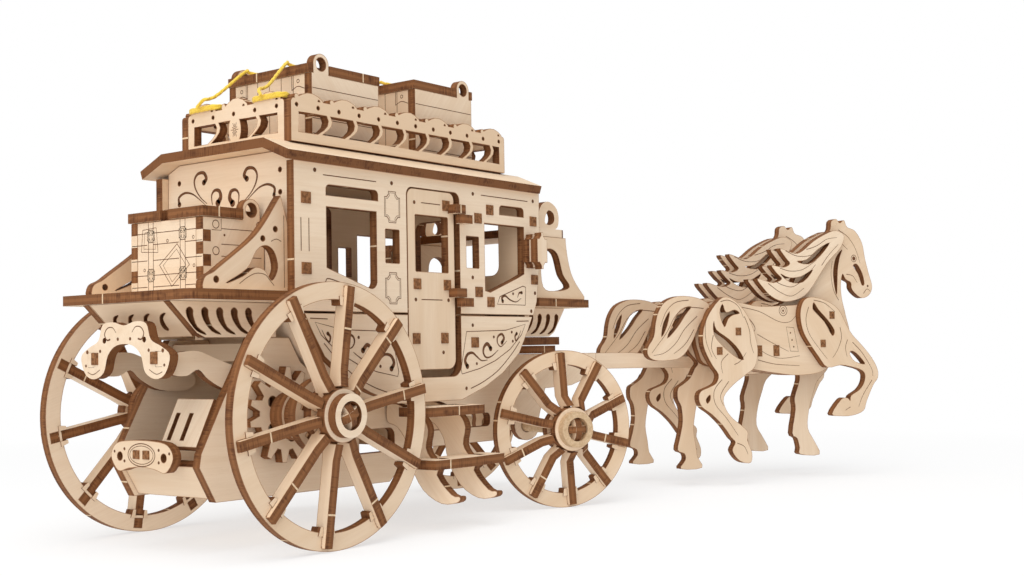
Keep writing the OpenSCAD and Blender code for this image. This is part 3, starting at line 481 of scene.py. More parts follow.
@dataclass
class Sheetwork:
    """Cuts a frame node's plates again, with a scorched rim and edge.

    A plate is an island of the node whose two widest faces are parallel and one sheet apart.
    On each of those faces the outline's points are copied and moved inwards by the rim's width
    along the mean of the two neighbouring edges' inward normals; the face's own triangles then
    join the copies, and a band joins the outline to them. "burn" is 1 on the outline and 0 on
    the copies, so the rim fades by interpolation.
    """

    rim: float = 0.42
    sheet: float = PLY
    nick_every: float = 46.0
    nick_width: float = 0.62
    seed: int = 11
    rng: np.random.Generator = field(init=False)

    def __post_init__(self) -> None:
        """Starts the random row."""
        self.rng = np.random.default_rng(self.seed)

    def cut(self, name: str) -> Shape:
        """The plates of one node as a shape, in millimetres.

        Args:
            name: The node's name in the frame.

        Returns:
            All its plates together.
        """
        points, triangles = self._welded(frame["nodes"][name])
        label = self._islands(len(points), triangles)
        shapes = [self._plate(points, triangles[label == k]) for k in np.unique(label)]
        return Shape.join(shapes)

    @staticmethod
    def _welded(node: bpy.types.Object) -> tuple[Array, Array]:
        """Points in millimetres and triangles of a node, its doubled points merged.

        Args:
            node: The frame's object.

        Returns:
            Its points and its triangles.
        """
        data = node.data
        co = np.empty(len(data.vertices) * 3, np.float32)
        data.vertices.foreach_get("co", co)
        data.calc_loop_triangles()
        tri = np.empty(len(data.loop_triangles) * 3, np.int32)
        data.loop_triangles.foreach_get("vertices", tri)
        co = co.reshape(-1, 3).astype(float) / MM
        key = np.round(co * 500).astype(np.int64)
        _, first, inverse = np.unique(key, axis=0, return_index=True, return_inverse=True)
        tri = inverse.reshape(-1)[tri].reshape(-1, 3)
        whole = (tri[:, 0] != tri[:, 1]) & (tri[:, 1] != tri[:, 2]) & (tri[:, 0] != tri[:, 2])
        return co[first], tri[whole]

    @staticmethod
    def _islands(count: int, triangles: Array) -> Array:
        """Each triangle's island: the least point number that edges join it to.

        Args:
            count: How many points there are.
            triangles: Three point numbers a row.

        Returns:
            A number a triangle, alike within an island.
        """
        label = np.arange(count)
        while True:
            before = label.copy()
            np.minimum.at(label, triangles.ravel(), np.repeat(label[triangles].min(1), 3))
            label = label[label]
            if (label == before).all():
                return label[triangles[:, 0]]

    def _plate(self, points: Array, triangles: Array) -> Shape:
        """One island, as a scorched plate if it is one.

        Args:
            points: All points of the node.
            triangles: The island's triangles.

        Returns:
            The island with its finishes.
        """
        used, tri = np.unique(triangles, return_inverse=True)
        co = points[used]
        tri = tri.reshape(-1, 3)
        cross = np.cross(co[tri[:, 1]] - co[tri[:, 0]], co[tri[:, 2]] - co[tri[:, 0]])
        area = np.linalg.norm(cross, axis=1) / 2
        normal = unit(cross)
        axis = self._axis(co, normal, area)
        tone = self.rng.random()
        if axis is None:
            return Shape(co, tri, self._bare_parts(co, tri, normal, area), co + 31 * tone,
                         np.zeros(len(co)), np.full(len(co), tone))
        height = co @ axis
        low, high = height.min(), height.max()
        flat = normal @ axis
        top = (flat > 0.99) & (height[tri].min(1) > high - 0.05)
        bottom = (flat < -0.99) & (height[tri].max(1) < low + 0.05)
        pieces = [(co, tri[~(top | bottom)], Part.EDGE.value)]
        nicks = []
        for caps, side in ((tri[top], 1.0), (tri[bottom], -1.0)):
            moved, border = self._inset(co, caps, axis * side)
            a, b = border.T
            inner_a, inner_b = a + len(co), b + len(co)
            band = np.concatenate([np.stack([a, b, inner_b], 1), np.stack([a, inner_b, inner_a], 1)])
            pieces.append((moved, caps, Part.FACE.value))
            pieces.append((moved, band, Part.FACE.value))
            if side > 0:
                nicks = self._nicks(co, border, axis, high - low)
        return self._assemble(co, pieces, nicks, axis, (low + high) / 2, tone)

    def _bare_parts(self, co: Array, tri: Array, normal: Array, area: Array) -> Array:
        """Finishes of an island that isn't a plate.

        Triangles in one plane form a group; its mean width is its area over its longest extent.
        A group no wider than the sheet is an edge, and an island of narrow strips only is a dowel.

        Args:
            co: The island's points.
            tri: Its triangles.
            normal: The triangles' normals.
            area: The triangles' areas.

        Returns:
            A finish a triangle.
        """
        offset = (normal * co[tri[:, 0]]).sum(1, keepdims=True)
        key = np.round(np.concatenate([normal * 20, offset * 4], 1)).astype(int)
        _, group = np.unique(key, axis=0, return_inverse=True)
        group = group.reshape(-1)
        count = group.max() + 1
        low, high = np.full((count, 3), 1e9), np.full((count, 3), -1e9)
        for corner in range(3):
            np.minimum.at(low, group, co[tri[:, corner]])
            np.maximum.at(high, group, co[tri[:, corner]])
        width = np.bincount(group, area) / np.linalg.norm(high - low, axis=1)
        narrow = (width < self.sheet * 1.12)[group]
        sides = np.abs(normal @ unit(co.max(0) - co.min(0))) < 0.3
        if count > 20 and narrow[sides].all() and (width[group][sides] < 1.2).all():
            return np.full(len(tri), Part.DOWEL.value)
        return np.where(narrow, Part.EDGE.value, Part.FACE.value)

    def _assemble(self, co: Array, pieces: list, nicks: list, axis: Array, middle: float,
                  tone: float) -> Shape:
        """Joins walls, faces, rims and nicks into one shape with the plate's own coordinates.

        Args:
            co: The plate's points.
            pieces: Points and triangles of the walls, then of the faces and their rims.
            nicks: Marks across the edge.
            axis: The direction through the plate's thickness.
            middle: Where the plate's middle lies along it.
            tone: The plate's own tone.

        Returns:
            The finished plate.
        """
        count = len(co)
        walls, top, top_band, bottom, bottom_band = pieces
        stack = np.concatenate([co, top[0], bottom[0]])
        burn = np.concatenate([np.ones(count), np.zeros(2 * count)])

        def renumber(band: Array, offset: int) -> Array:
            """Sends the copies' numbers to their own layer."""
            return np.where(band >= count, band - count + offset, band)

        triangles = [walls[1], top[1] + count, renumber(top_band[1], count),
                     bottom[1] + 2 * count, renumber(bottom_band[1], 2 * count)]
        edge, face = Part.EDGE.value, Part.FACE.value
        part = [np.full(len(t), k) for t, k in zip(triangles, (edge, face, face, face, face))]
        if len(nicks):
            quads = np.arange(len(nicks) * 4).reshape(-1, 4) + len(stack)
            stack = np.concatenate([stack, np.asarray(nicks).reshape(-1, 3)])
            burn = np.concatenate([burn, np.zeros(len(nicks) * 4)])
            triangles.append(np.concatenate([quads[:, [0, 1, 2]], quads[:, [0, 2, 3]]]))
            part.append(np.full(len(triangles[-1]), Part.NICK.value))
        along = self._grain(co, axis)
        across = np.cross(axis, along)
        local = np.stack([stack @ along + 211 * tone, stack @ across + 97 * tone, stack @ axis - middle], 1)
        triangles, part = np.concatenate(triangles), np.concatenate(part)
        used, triangles = np.unique(triangles, return_inverse=True)
        return Shape(stack[used], triangles.reshape(-1, 3), part, local[used], burn[used],
                     np.full(len(used), tone))

    def _axis(self, co: Array, normal: Array, area: Array) -> Array | None:
        """The direction through a plate's thickness, or None if the island isn't a plate.

        Args:
            co: The island's points.
            normal: The triangles' normals.
            area: The triangles' areas.

        Returns:
            A unit vector or None.
        """
        best, found = 0.0, None
        for k in np.argsort(-area)[:14]:
            axis = normal[k]
            height = co @ axis
            if abs(height.max() - height.min() - self.sheet) < 0.25:
                share = area[np.abs(normal @ axis) > 0.999].sum()
                if share > best:
                    best, found = share, axis
        return found if best > 0.25 * area.sum() else None

    @staticmethod
    def _grain(co: Array, axis: Array) -> Array:
        """The face veneer's grain: the plate's longest way across its face.

        Args:
            co: The plate's points.
            axis: The direction through the plate's thickness.

        Returns:
            A unit vector in the face.
        """
        centred = co - co.mean(0)
        centred = centred - np.outer(centred @ axis, axis)
        _, _, rows = np.linalg.svd(centred.T @ centred)
        return unit(rows[0] - (rows[0] @ axis) * axis)

    def _inset(self, co: Array, caps: Array, outward: Array) -> tuple[Array, Array]:
        """Moves a face's outline inwards.

        Args:
            co: The plate's points.
            caps: The triangles of one face.
            outward: That face's normal.

        Returns:
            A copy of the points with the outline moved, and the outline's edges, face on the left.
        """
        count = len(co)
        edges = np.concatenate([caps[:, [0, 1]], caps[:, [1, 2]], caps[:, [2, 0]]])
        code = edges[:, 0] * count + edges[:, 1]
        border = edges[~np.isin(code, edges[:, 1] * count + edges[:, 0])]
        a, b = border.T
        inward = np.cross(outward, unit(co[b] - co[a]))
        total = np.zeros_like(co)
        np.add.at(total, a, inward)
        np.add.at(total, b, inward)
        size = np.linalg.norm(total, axis=1, keepdims=True)
        step = np.divide(2 * total, size**2, out=np.zeros_like(total), where=size > 0.6) * self.rim
        length = np.linalg.norm(step, axis=1, keepdims=True)
        step *= np.minimum(1.0, 1.9 * self.rim / np.maximum(length, 1e-9))
        for _ in range(7):
            old, new = co[b] - co[a], co[b] + step[b] - co[a] - step[a]
            bad = np.zeros(count, bool)
            turned = (old * new).sum(1) < 0.12 * (old * old).sum(1)
            bad[a[turned]] = bad[b[turned]] = True
            moved = co + step
            cross = np.cross(moved[caps[:, 1]] - moved[caps[:, 0]], moved[caps[:, 2]] - moved[caps[:, 0]])
            bad[caps[cross @ outward < -1e-4].ravel()] = True
            step[bad] *= 0.5
        return co + step, border

    def _nicks(self, co: Array, border: Array, axis: Array, thick: float) -> list:
        """Short pale marks across the edge, where the plate was held in its sheet.

        Args:
            co: The plate's points.
            border: Pairs of point numbers along the face's outline.
            axis: The direction through the plate's thickness.
            thick: The plate's thickness.

        Returns:
            The marks.
        """
        a, b = co[border[:, 0]], co[border[:, 1]]
        length = np.linalg.norm(b - a, axis=1)
        keep = (self.rng.random(len(border)) < length / self.nick_every) & (length > 1.1)
        along = unit(b - a)[keep]
        share = self.rng.uniform(0.3, 0.7, (int(keep.sum()), 1))
        middle = a[keep] * (1 - share) + b[keep] * share - np.cross(axis, along) * 0.03
        half = along * self.nick_width / 2
        top, low = axis * -0.03, axis * (0.03 - thick)
        corners = np.stack([middle - half + top, middle + half + top, middle + half + low,
                            middle - half + low], 1)
        return list(corners[:, ::-1])


# ---- frame to visual pieces ---------------------------------------------

@dataclass
class PlateSet:
    """All plywood nodes of the frame, cut again as sheets."""

    shop: Workshop
    saw: Sheetwork = field(default_factory=Sheetwork)
    plain: tuple[str, ...] = ("lashing_cord",)

    def build(self) -> None:
        """Cuts every plywood node and lets it ride where the frame's does."""
        for name, node in frame["nodes"].items():
            if name in self.plain:
                continue
            shape = self.saw.cut(name)
            shape.points = shape.points * MM
            piece = shape.mesh(f"{name}_plates", self.shop.sheet)
            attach(piece, node["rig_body"])
            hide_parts(name)
            log.info("%s: %d triangles", piece.name, len(shape.triangles))


# ---- marks on the plates -------------------------------------------------

def smooth(points: list, closed: bool = False, steps: int = 6) -> Array:
    """A curve through points: p(t) = (2b + (c-a)t + (2a-5b+4c-d)t^2 + (3b-a-3c+d)t^3) / 2.

    Args:
        points: The points that the curve passes.
        closed: Whether the curve returns to its start.
        steps: Points from each given point to the next.

    Returns:
        The curve's points.
    """
    p = np.asarray(points, float)
    ring = np.concatenate([p[-1:], p, p[:2]]) if closed else np.concatenate([p[:1], p, p[-1:]])
    a, b, c, d = (ring[k:len(ring) - 3 + k, None] for k in range(4))
    t = (np.arange(steps) / steps)[None, :, None]
    curve = 0.5 * (2 * b + (c - a) * t + (2 * a - 5 * b + 4 * c - d) * t**2 + (3 * b - a - 3 * c + d) * t**3)
    curve = curve.reshape(-1, p.shape[1])
    return curve if closed else np.concatenate([curve, p[-1:]])


@dataclass
class Marks:
    """Engraved strokes, cut-out holes laid as dark sheets of painted shade, and tenon ends on one flat face.

    A mark is drawn in the face's own plane, (right, up) in millimetres from its origin, and lies
    a hair above it.
    """

    origin: Triple
    right: Triple
    up: Triple = (0.0, 0.0, 1.0)
    flip: bool = False
    lift: float = 0.035
    points: list = field(default_factory=list)
    faces: list = field(default_factory=list)
    parts: list = field(default_factory=list)
    count: int = 0

    def _add(self, flat: Array, faces: Array, part: Part, height: Array | float | None = None) -> None:
        """Places points given in the plane and keeps their faces.

        Args:
            flat: Points in the plane.
            faces: Point numbers of its triangles.
            part: Their finish.
            height: How far the points stand out, or None for a thin layer.
        """
        right, up = np.array(self.right), np.array(self.up)
        out = np.cross(right, up) * (-1 if self.flip else 1)
        level = np.full(len(flat), self.lift) if height is None else np.broadcast_to(height, len(flat))
        placed = np.array(self.origin) + flat[:, :1] * right + flat[:, 1:2] * up + level[:, None] * out
        self.points.append(placed)
        faces = np.asarray(faces)
        self.faces.append((faces[:, ::-1] if self.flip else faces) + self.count)
        self.parts.append(np.full(len(faces), part.value))
        self.count += len(flat)

    def stroke(self, points: list, width: float = 0.38, closed: bool = False, curved: bool = False,
               taper: tuple[float, float] = (1.0, 1.0), part: Part = Part.ENGRAVING_AND_HOLE_SHADE) -> "Marks":
        """A line of the given width; taper scales the width at its start and its end.

        Args:
            points: Points that the line passes.
            width: The line's width.
            closed: Whether it ends where it starts.
            curved: Whether it is smoothed between its points.
            taper: Scale of the width at both ends.
            part: Its finish.

        Returns:
            These marks.
        """
        p = smooth(points, closed) if curved else np.asarray(points, float)
        ahead = np.roll(p, -1, 0) - p
        behind = p - np.roll(p, 1, 0)
        if not closed:
            ahead[-1], behind[0] = behind[-1], ahead[0]
        along = unit(unit(ahead) + unit(behind))
        side = np.stack([-along[:, 1], along[:, 0]], 1)
        share = np.linspace(0, 1, len(p))[:, None]
        half = width / 2 * (taper[0] + (taper[1] - taper[0]) * share)
        count = len(p)
        a = np.arange(count if closed else count - 1)
        b = (a + 1) % count
        faces = np.concatenate([np.stack([a + count, b + count, b], 1), np.stack([a + count, b, a], 1)])
        self._add(np.concatenate([p + side * half, p - side * half]), faces, part)
        return self

    def dot(self, at: tuple, radius: float = 0.8, part: Part = Part.ENGRAVING_AND_HOLE_SHADE) -> "Marks":
        """A round dark spot; where it stands for a hole, its dark is painted shade seen through it.

        Args:
            at: Its centre.
            radius: Its radius.
            part: Its finish.

        Returns:
            These marks.
        """
        turn = np.arange(20) * math.tau / 20
        rim = np.array(at) + radius * np.stack([np.cos(turn), np.sin(turn)], 1)
        order = np.arange(1, 19)
        self._add(rim, np.stack([np.zeros(18, int), order, order + 1], 1), part)
        return self

    def ring(self, at: tuple, radius: float, width: float = 0.3) -> "Marks":
        """A round engraved stroke.

        Args:
            at: Its centre.
            radius: Its radius.
            width: The line's width.

        Returns:
            These marks.
        """
        turn = np.arange(24)[:, None] * math.tau / 24
        circle = np.array(at) + radius * np.concatenate([np.cos(turn), np.sin(turn)], 1)
        return self.stroke(circle, width, closed=True)

    def patch(self, low: tuple, high: tuple, part: Part) -> "Marks":
        """A rectangle of another finish.

        Args:
            low: The lower corner.
            high: The upper corner.
            part: Its finish.

        Returns:
            These marks.
        """
        (a, b), (c, d) = low, high
        self._add(np.array([(a, b), (c, b), (c, d), (a, d)], float), [(0, 1, 2), (0, 2, 3)], part)
        return self

    def tenon(self, at: tuple, size: tuple = (4.6, 4.2), stand: float = 0.45) -> "Marks":
        """The burnt end of a tenon that stands a little proud of the face.

        Args:
            at: Its centre.
            size: Its width and height.
            stand: How far it stands proud.

        Returns:
            These marks.
        """
        (x, z), (w, h) = at, (size[0] / 2, size[1] / 2)
        low = np.array([(x - w, z - h), (x + w, z - h), (x + w, z + h), (x - w, z + h)])
        high = low * 0.94 + np.array(at) * 0.06
        level = np.repeat([0.01, stand], 4)
        turn = [(k, (k + 1) % 4) for k in range(4)]
        sides = [(a, b, b + 4) for a, b in turn] + [(a, b + 4, a + 4) for a, b in turn]
        self._add(np.concatenate([low, high]), [(4, 5, 6), (4, 6, 7), *sides], Part.TENON, level)
        return self

    def scroll(self, points: list, width: float = 1.0) -> "Marks":
        """A cut-out tendril laid as a dark sheet of painted shade: it starts in a round head and tapers to
        its tip.
        """
        self.dot(points[0], width * 0.9)
        return self.stroke(points, width * 1.5, curved=True, taper=(1.0, 0.14))

    def plaque(self, low: tuple, high: tuple, notch: float = 1.1) -> "Marks":
        """A frame with notched corners, drawn with a double line.

        Args:
            low: The lower corner.
            high: The upper corner.
            notch: How deep its corners are notched.

        Returns:
            These marks.
        """
        for inset, width in ((0.0, 0.36), (0.55, 0.22)):
            (a, b), (c, d), n = (low[0] + inset, low[1] + inset), (high[0] - inset, high[1] - inset), notch
            m = 2 * n
            lower_right = [(c - m, b), (c - m, b + n), (c - n, b + m), (c, b + m)]
            upper_right = [(c, d - m), (c - n, d - m), (c - m, d - n), (c - m, d)]
            upper_left = [(a + m, d), (a + m, d - n), (a + n, d - m), (a, d - m)]
            lower_left = [(a, b + m), (a + n, b + m), (a + m, b + n), (a + m, b)]
            outline = lower_left[3:] + lower_right + upper_right + upper_left + lower_left[:3]
            self.stroke(outline, width, closed=True)
        return self

    def shape(self) -> Shape:
        """All marks as one shape.

        Returns:
            A shape in millimetres.
        """
        points = np.concatenate(self.points)
        faces = np.concatenate(self.faces)
        zero = np.zeros(len(points))
        return Shape(points, faces, np.concatenate(self.parts), points * 1.0, zero, zero + 0.5)


def place(shapes: list[Shape], name: str, body: str, materials: list[Material]) -> None:
    """Makes one object of several shapes and lets it ride a body.

    Args:
        shapes: What the object is made of.
        name: The object's name.
        body: The body that it rides.
        materials: One for each finish.
    """
    shape = Shape.join(shapes)
    shape.points = shape.points * MM
    piece = shape.mesh(name, materials)
    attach(piece, body)
    log.info("%s: %d triangles", name, len(shape.triangles))


@dataclass
class SideMarks:
    """The engraving, tenon ends and scroll cuts of the two side walls and their doors, the cuts as dark
    sheets of painted shade.
    """

    shop: Workshop
    tabs: tuple = (
        (0.5, 122.4), (0.5, 97.4), (104.4, 125.6), (96.6, 121.6), (134.3, 122.8), (96.5, 91.4),
        (104.2, 87.4), (134.6, 97.6),
    )
    dots: tuple = (
        (5.0, 132.6), (45, 131.4), (93.6, 131.4), (134.5, 131.6), (92.7, 97.2), (134.9, 91.8), (132, 84),
    )
    lines: tuple = (
        ((9.0, 131.2), (36.5, 131.2)), ((98.8, 131.3), (130.7, 131.2)), ((-1.9, 115.2), (-1.9, 103.4)),
        ((1.9, 115.2), (1.9, 103.4)),
    )
    panel: tuple = (
        (88.2, 75.2), (114, 75.8), (127.6, 78.4), (124.6, 73.8), (116.6, 67.8), (106.5, 63.2),
        (96.3, 60.2), (85, 58.2), (84.4, 60.0),
    )
    scrolls: tuple = (
        (
            (
                (88.4, 61.2), (87.0, 63.4), (88.6, 66.0), (91.8, 66.6), (94.6, 65.0), (97.6, 63.4),
                (101.4, 63.6),
            ),
            1.2,
        ),
        (
            (
                (103.6, 68.2), (101.4, 70.2), (99.2, 68.8), (98.8, 66.4), (100.8, 64.6), (104.4, 65.2),
                (108.6, 67.6),
            ),
            1.2,
        ),
        (
            (
                (111.2, 70.6), (112.6, 72.6), (111.0, 74.2), (108.4, 73.0), (108.2, 70.6), (110.6, 69.0),
                (114.6, 71.4),
            ),
            1.0,
        ),
        (((121.4, 74.4), (120.2, 73.2), (120.8, 71.4), (122.6, 73.0), (124.4, 75.8)), 0.8),
    )
    spots: tuple = ((94.4, 62.2), (105.8, 73.0), (118.6, 71.2), (118, 75.0))
    door_tabs: tuple = ((76.4, 125.2), (58.8, 93.6), (76.6, 93.6), (57.9, 72.5), (74.6, 72.6))
    door_dots: tuple = ((57.7, 125.2), (57.9, 87.5), (77.3, 87.6), (73.8, 67.0))
    door_lines: tuple = (((61.7, 125.3), (73.0, 125.3)), ((61.2, 87.6), (73.6, 87.6)))

    def build(self) -> None:
        """Marks both sides."""
        for side, name in ((1, "right"), (-1, "left")):
            wall = Marks((0, -WALL_Y * side, 0), ALONG, flip=side < 0)
            self._wall(wall)
            self._belly(wall)
            place([wall.shape()], f"side_wall_{name}_marks", "coach", self.shop.sheet)
            door = Marks((0, -WALL_Y * side, 0), ALONG, flip=side < 0)
            self._door(door)
            place([door.shape()], f"door_{name}_marks", f"door_{name}", self.shop.sheet)

    def _wall(self, wall: Marks) -> None:
        """The straight upper wall.

        Args:
            wall: What the marks are drawn on.
        """
        for at in self.tabs:
            wall.tenon(at)
        for at in self.dots:
            wall.dot(at)
        for line in self.lines:
            wall.stroke(line)
        for low in ((41.0, 116.4), (41.0, 85.6)):
            wall.plaque(low, (low[0] + 8.4, low[1] + 11.8))
        wall.stroke([(9.0, 90.4), (9.8, 93.0), (13.2, 93.8), (33.0, 88.6)], curved=True)
        wall.stroke([(108.6, 86.6), (110.4, 89.8), (126.3, 94.6), (128.3, 94.2), (127.8, 86.5)], closed=True)
        vine = [(112.2, 87.9), (111.8, 89.4), (114.0, 90.2), (117.2, 88.6), (121.4, 87.8), (125.0, 89.4)]
        # Scroll cut-outs laid as dark sheets of painted shade.
        wall.scroll(vine, 0.9)
        wall.scroll([(125.4, 91.8), (123.6, 91.6), (122.4, 89.6)], 0.8)
        wall.dot((119.4, 91.2), 0.6)

    def _belly(self, wall: Marks) -> None:
        """The rounded lower wall, alike before and behind the door.

        Args:
            wall: What the marks are drawn on.
        """
        for mirror in (False, True):
            def turned(points: tuple) -> list:
                """The points, mirrored about the body's middle behind the door."""
                return [(2 * BODY_MID - x, z) if mirror else (x, z) for x, z in points]
            wall.stroke(turned(self.panel), 0.34, closed=True)
            # Scroll cut-outs and holes laid as dark sheets of painted shade.
            for points, width in self.scrolls:
                wall.scroll(turned(points), width)
            for at in self.spots:
                wall.dot(turned([at])[0], 0.62)
            for at in ((92.2, 77.8), (87.6, 52.4)):
                wall.dot(turned([at])[0], 0.75)
            bow = ((90.4, 52.3), (98.6, 54.8), (108.4, 59.2), (117.4, 65.6), (123.4, 71.0))
            wall.stroke(turned(bow), curved=True)
            wall.stroke(turned([(121.4, 79.6), (130.0, 79.8)]))
        wall.tenon((93.4, 70.8))

    def _door(self, door: Marks) -> None:
        """The door's own marks.

        Args:
            door: What the marks are drawn on.
        """
        for at in self.door_tabs:
            door.tenon(at, (4.2, 4.2))
        for at in self.door_dots:
            door.dot(at, 0.75)
        for line in self.door_lines:
            door.stroke(line)


@dataclass
class EndMarks:
    """Cut-out tendrils of the rear wall as dark sheets of painted shade, and the lines of brackets, bow and
    winding key.
    """

    shop: Workshop
    wall_rear: float = -2.2
    middle: float = 1.6
    bracket_y: float = 32.3
    bow_rear: float = -48.0
    key_rear: float = -41.1
    key_z: float = 33.0
    tendrils: tuple = (
        (
            (
                (13.6, 130.9), (12.2, 132.4), (13.8, 134.6), (17.2, 134.4), (19.1, 132.1), (18.4, 128.9),
                (15.6, 125.5), (11.8, 122.8),
            ),
            1.2,
        ),
        (((28.0, 123.8), (28.2, 126.4), (24.7, 127.9), (20.4, 127.2), (16.5, 125.0), (12.7, 122.4)), 0.9),
        (((5.7, 122.6), (4.1, 124.6), (4.9, 127.0), (7.5, 127.4), (9.2, 125.6), (8.8, 122.0)), 1.5),
    )

    def build(self) -> None:
        """Marks the rear wall and the brackets, then the bow and the key."""
        wall = Marks((self.wall_rear, self.middle, 0), TO_THE_RIGHT)
        for mirror, rise in ((-1, 1.2), (1, 0.4)):
            # The tendrils are cut-outs laid as dark sheets of painted shade.
            for points, width in self.tendrils:
                wall.scroll([(mirror * (y - self.middle), z + rise) for y, z in points], width)
        pieces = [wall.shape()]
        for side in (1, -1):
            bracket = Marks((0, -self.bracket_y * side, 0), ALONG, flip=side < 0)
            wave = [(-25, 91.4), (-21.6, 93.6), (-17.6, 95.2), (-13.6, 94.9), (-11.2, 92.9), (-9.4, 91.2)]
            bracket.stroke(wave, 0.26, curved=True)
            bracket.stroke([(-4.6, 116), (-4.6, 90.6)], 0.26)
            bracket.stroke([(-10.6, 106.6), (-8.2, 107.5), (-5.9, 106.8)], 0.26, curved=True)
            pieces.append(bracket.shape())
        place(pieces, "rear_end_marks", "coach", self.shop.sheet)
        self._bow()

    def _bow(self) -> None:
        """Scrolls and holes of the bow, the holes as dark spots of painted shade, and the winding key's
        frames.
        """
        bow = Marks((self.bow_rear, 0, 0), TO_THE_RIGHT)
        for s in (-1, 1):
            curl = ((4.4, 75.6), (6.4, 77.4), (9.2, 77.2), (10.8, 75.2), (9.6, 73.2), (7.6, 73.4))
            bow.stroke([(s * y, z) for y, z in curl], 0.5, curved=True, taper=(0.4, 1.2))
            bow.tenon((s * 16.3, 66.8), (3.6, 4.2)).dot((s * 20.8, 69.2), 0.7)
            bow.dot((s * 13.4, 69.4), 0.6).dot((s * 3.4, 73.4), 0.6).dot((s * 21.6, 64.4), 0.5)
            bow.stroke([(s * 20.6, 62.2), (s * 17.4, 61.4), (s * 13.6, 63.0)], 0.26, curved=True)
        key = Marks((self.key_rear, 0, self.key_z), TO_THE_RIGHT)
        turn = np.linspace(0, math.tau, 33)[:-1, None]
        for wide, high, width in ((7.4, 3.9, 0.34), (6.4, 3.1, 0.24)):
            oval = np.concatenate([wide * np.cos(turn), 0.7 + high * np.sin(turn)], 1)
            key.stroke(oval, width, closed=True)
        key.tenon((-2.7, 0.8), (3.4, 3.0)).tenon((2.7, 0.8), (3.4, 3.0))
        for s in (-1, 1):
            key.dot((s * 9.4, 2.6), 0.55).dot((s * 9.4, -1.6), 0.55).dot((s * 15.0, 1.6), 0.5)
        place([bow.shape(), key.shape()], "bow_and_key_marks", "coach", self.shop.sheet)


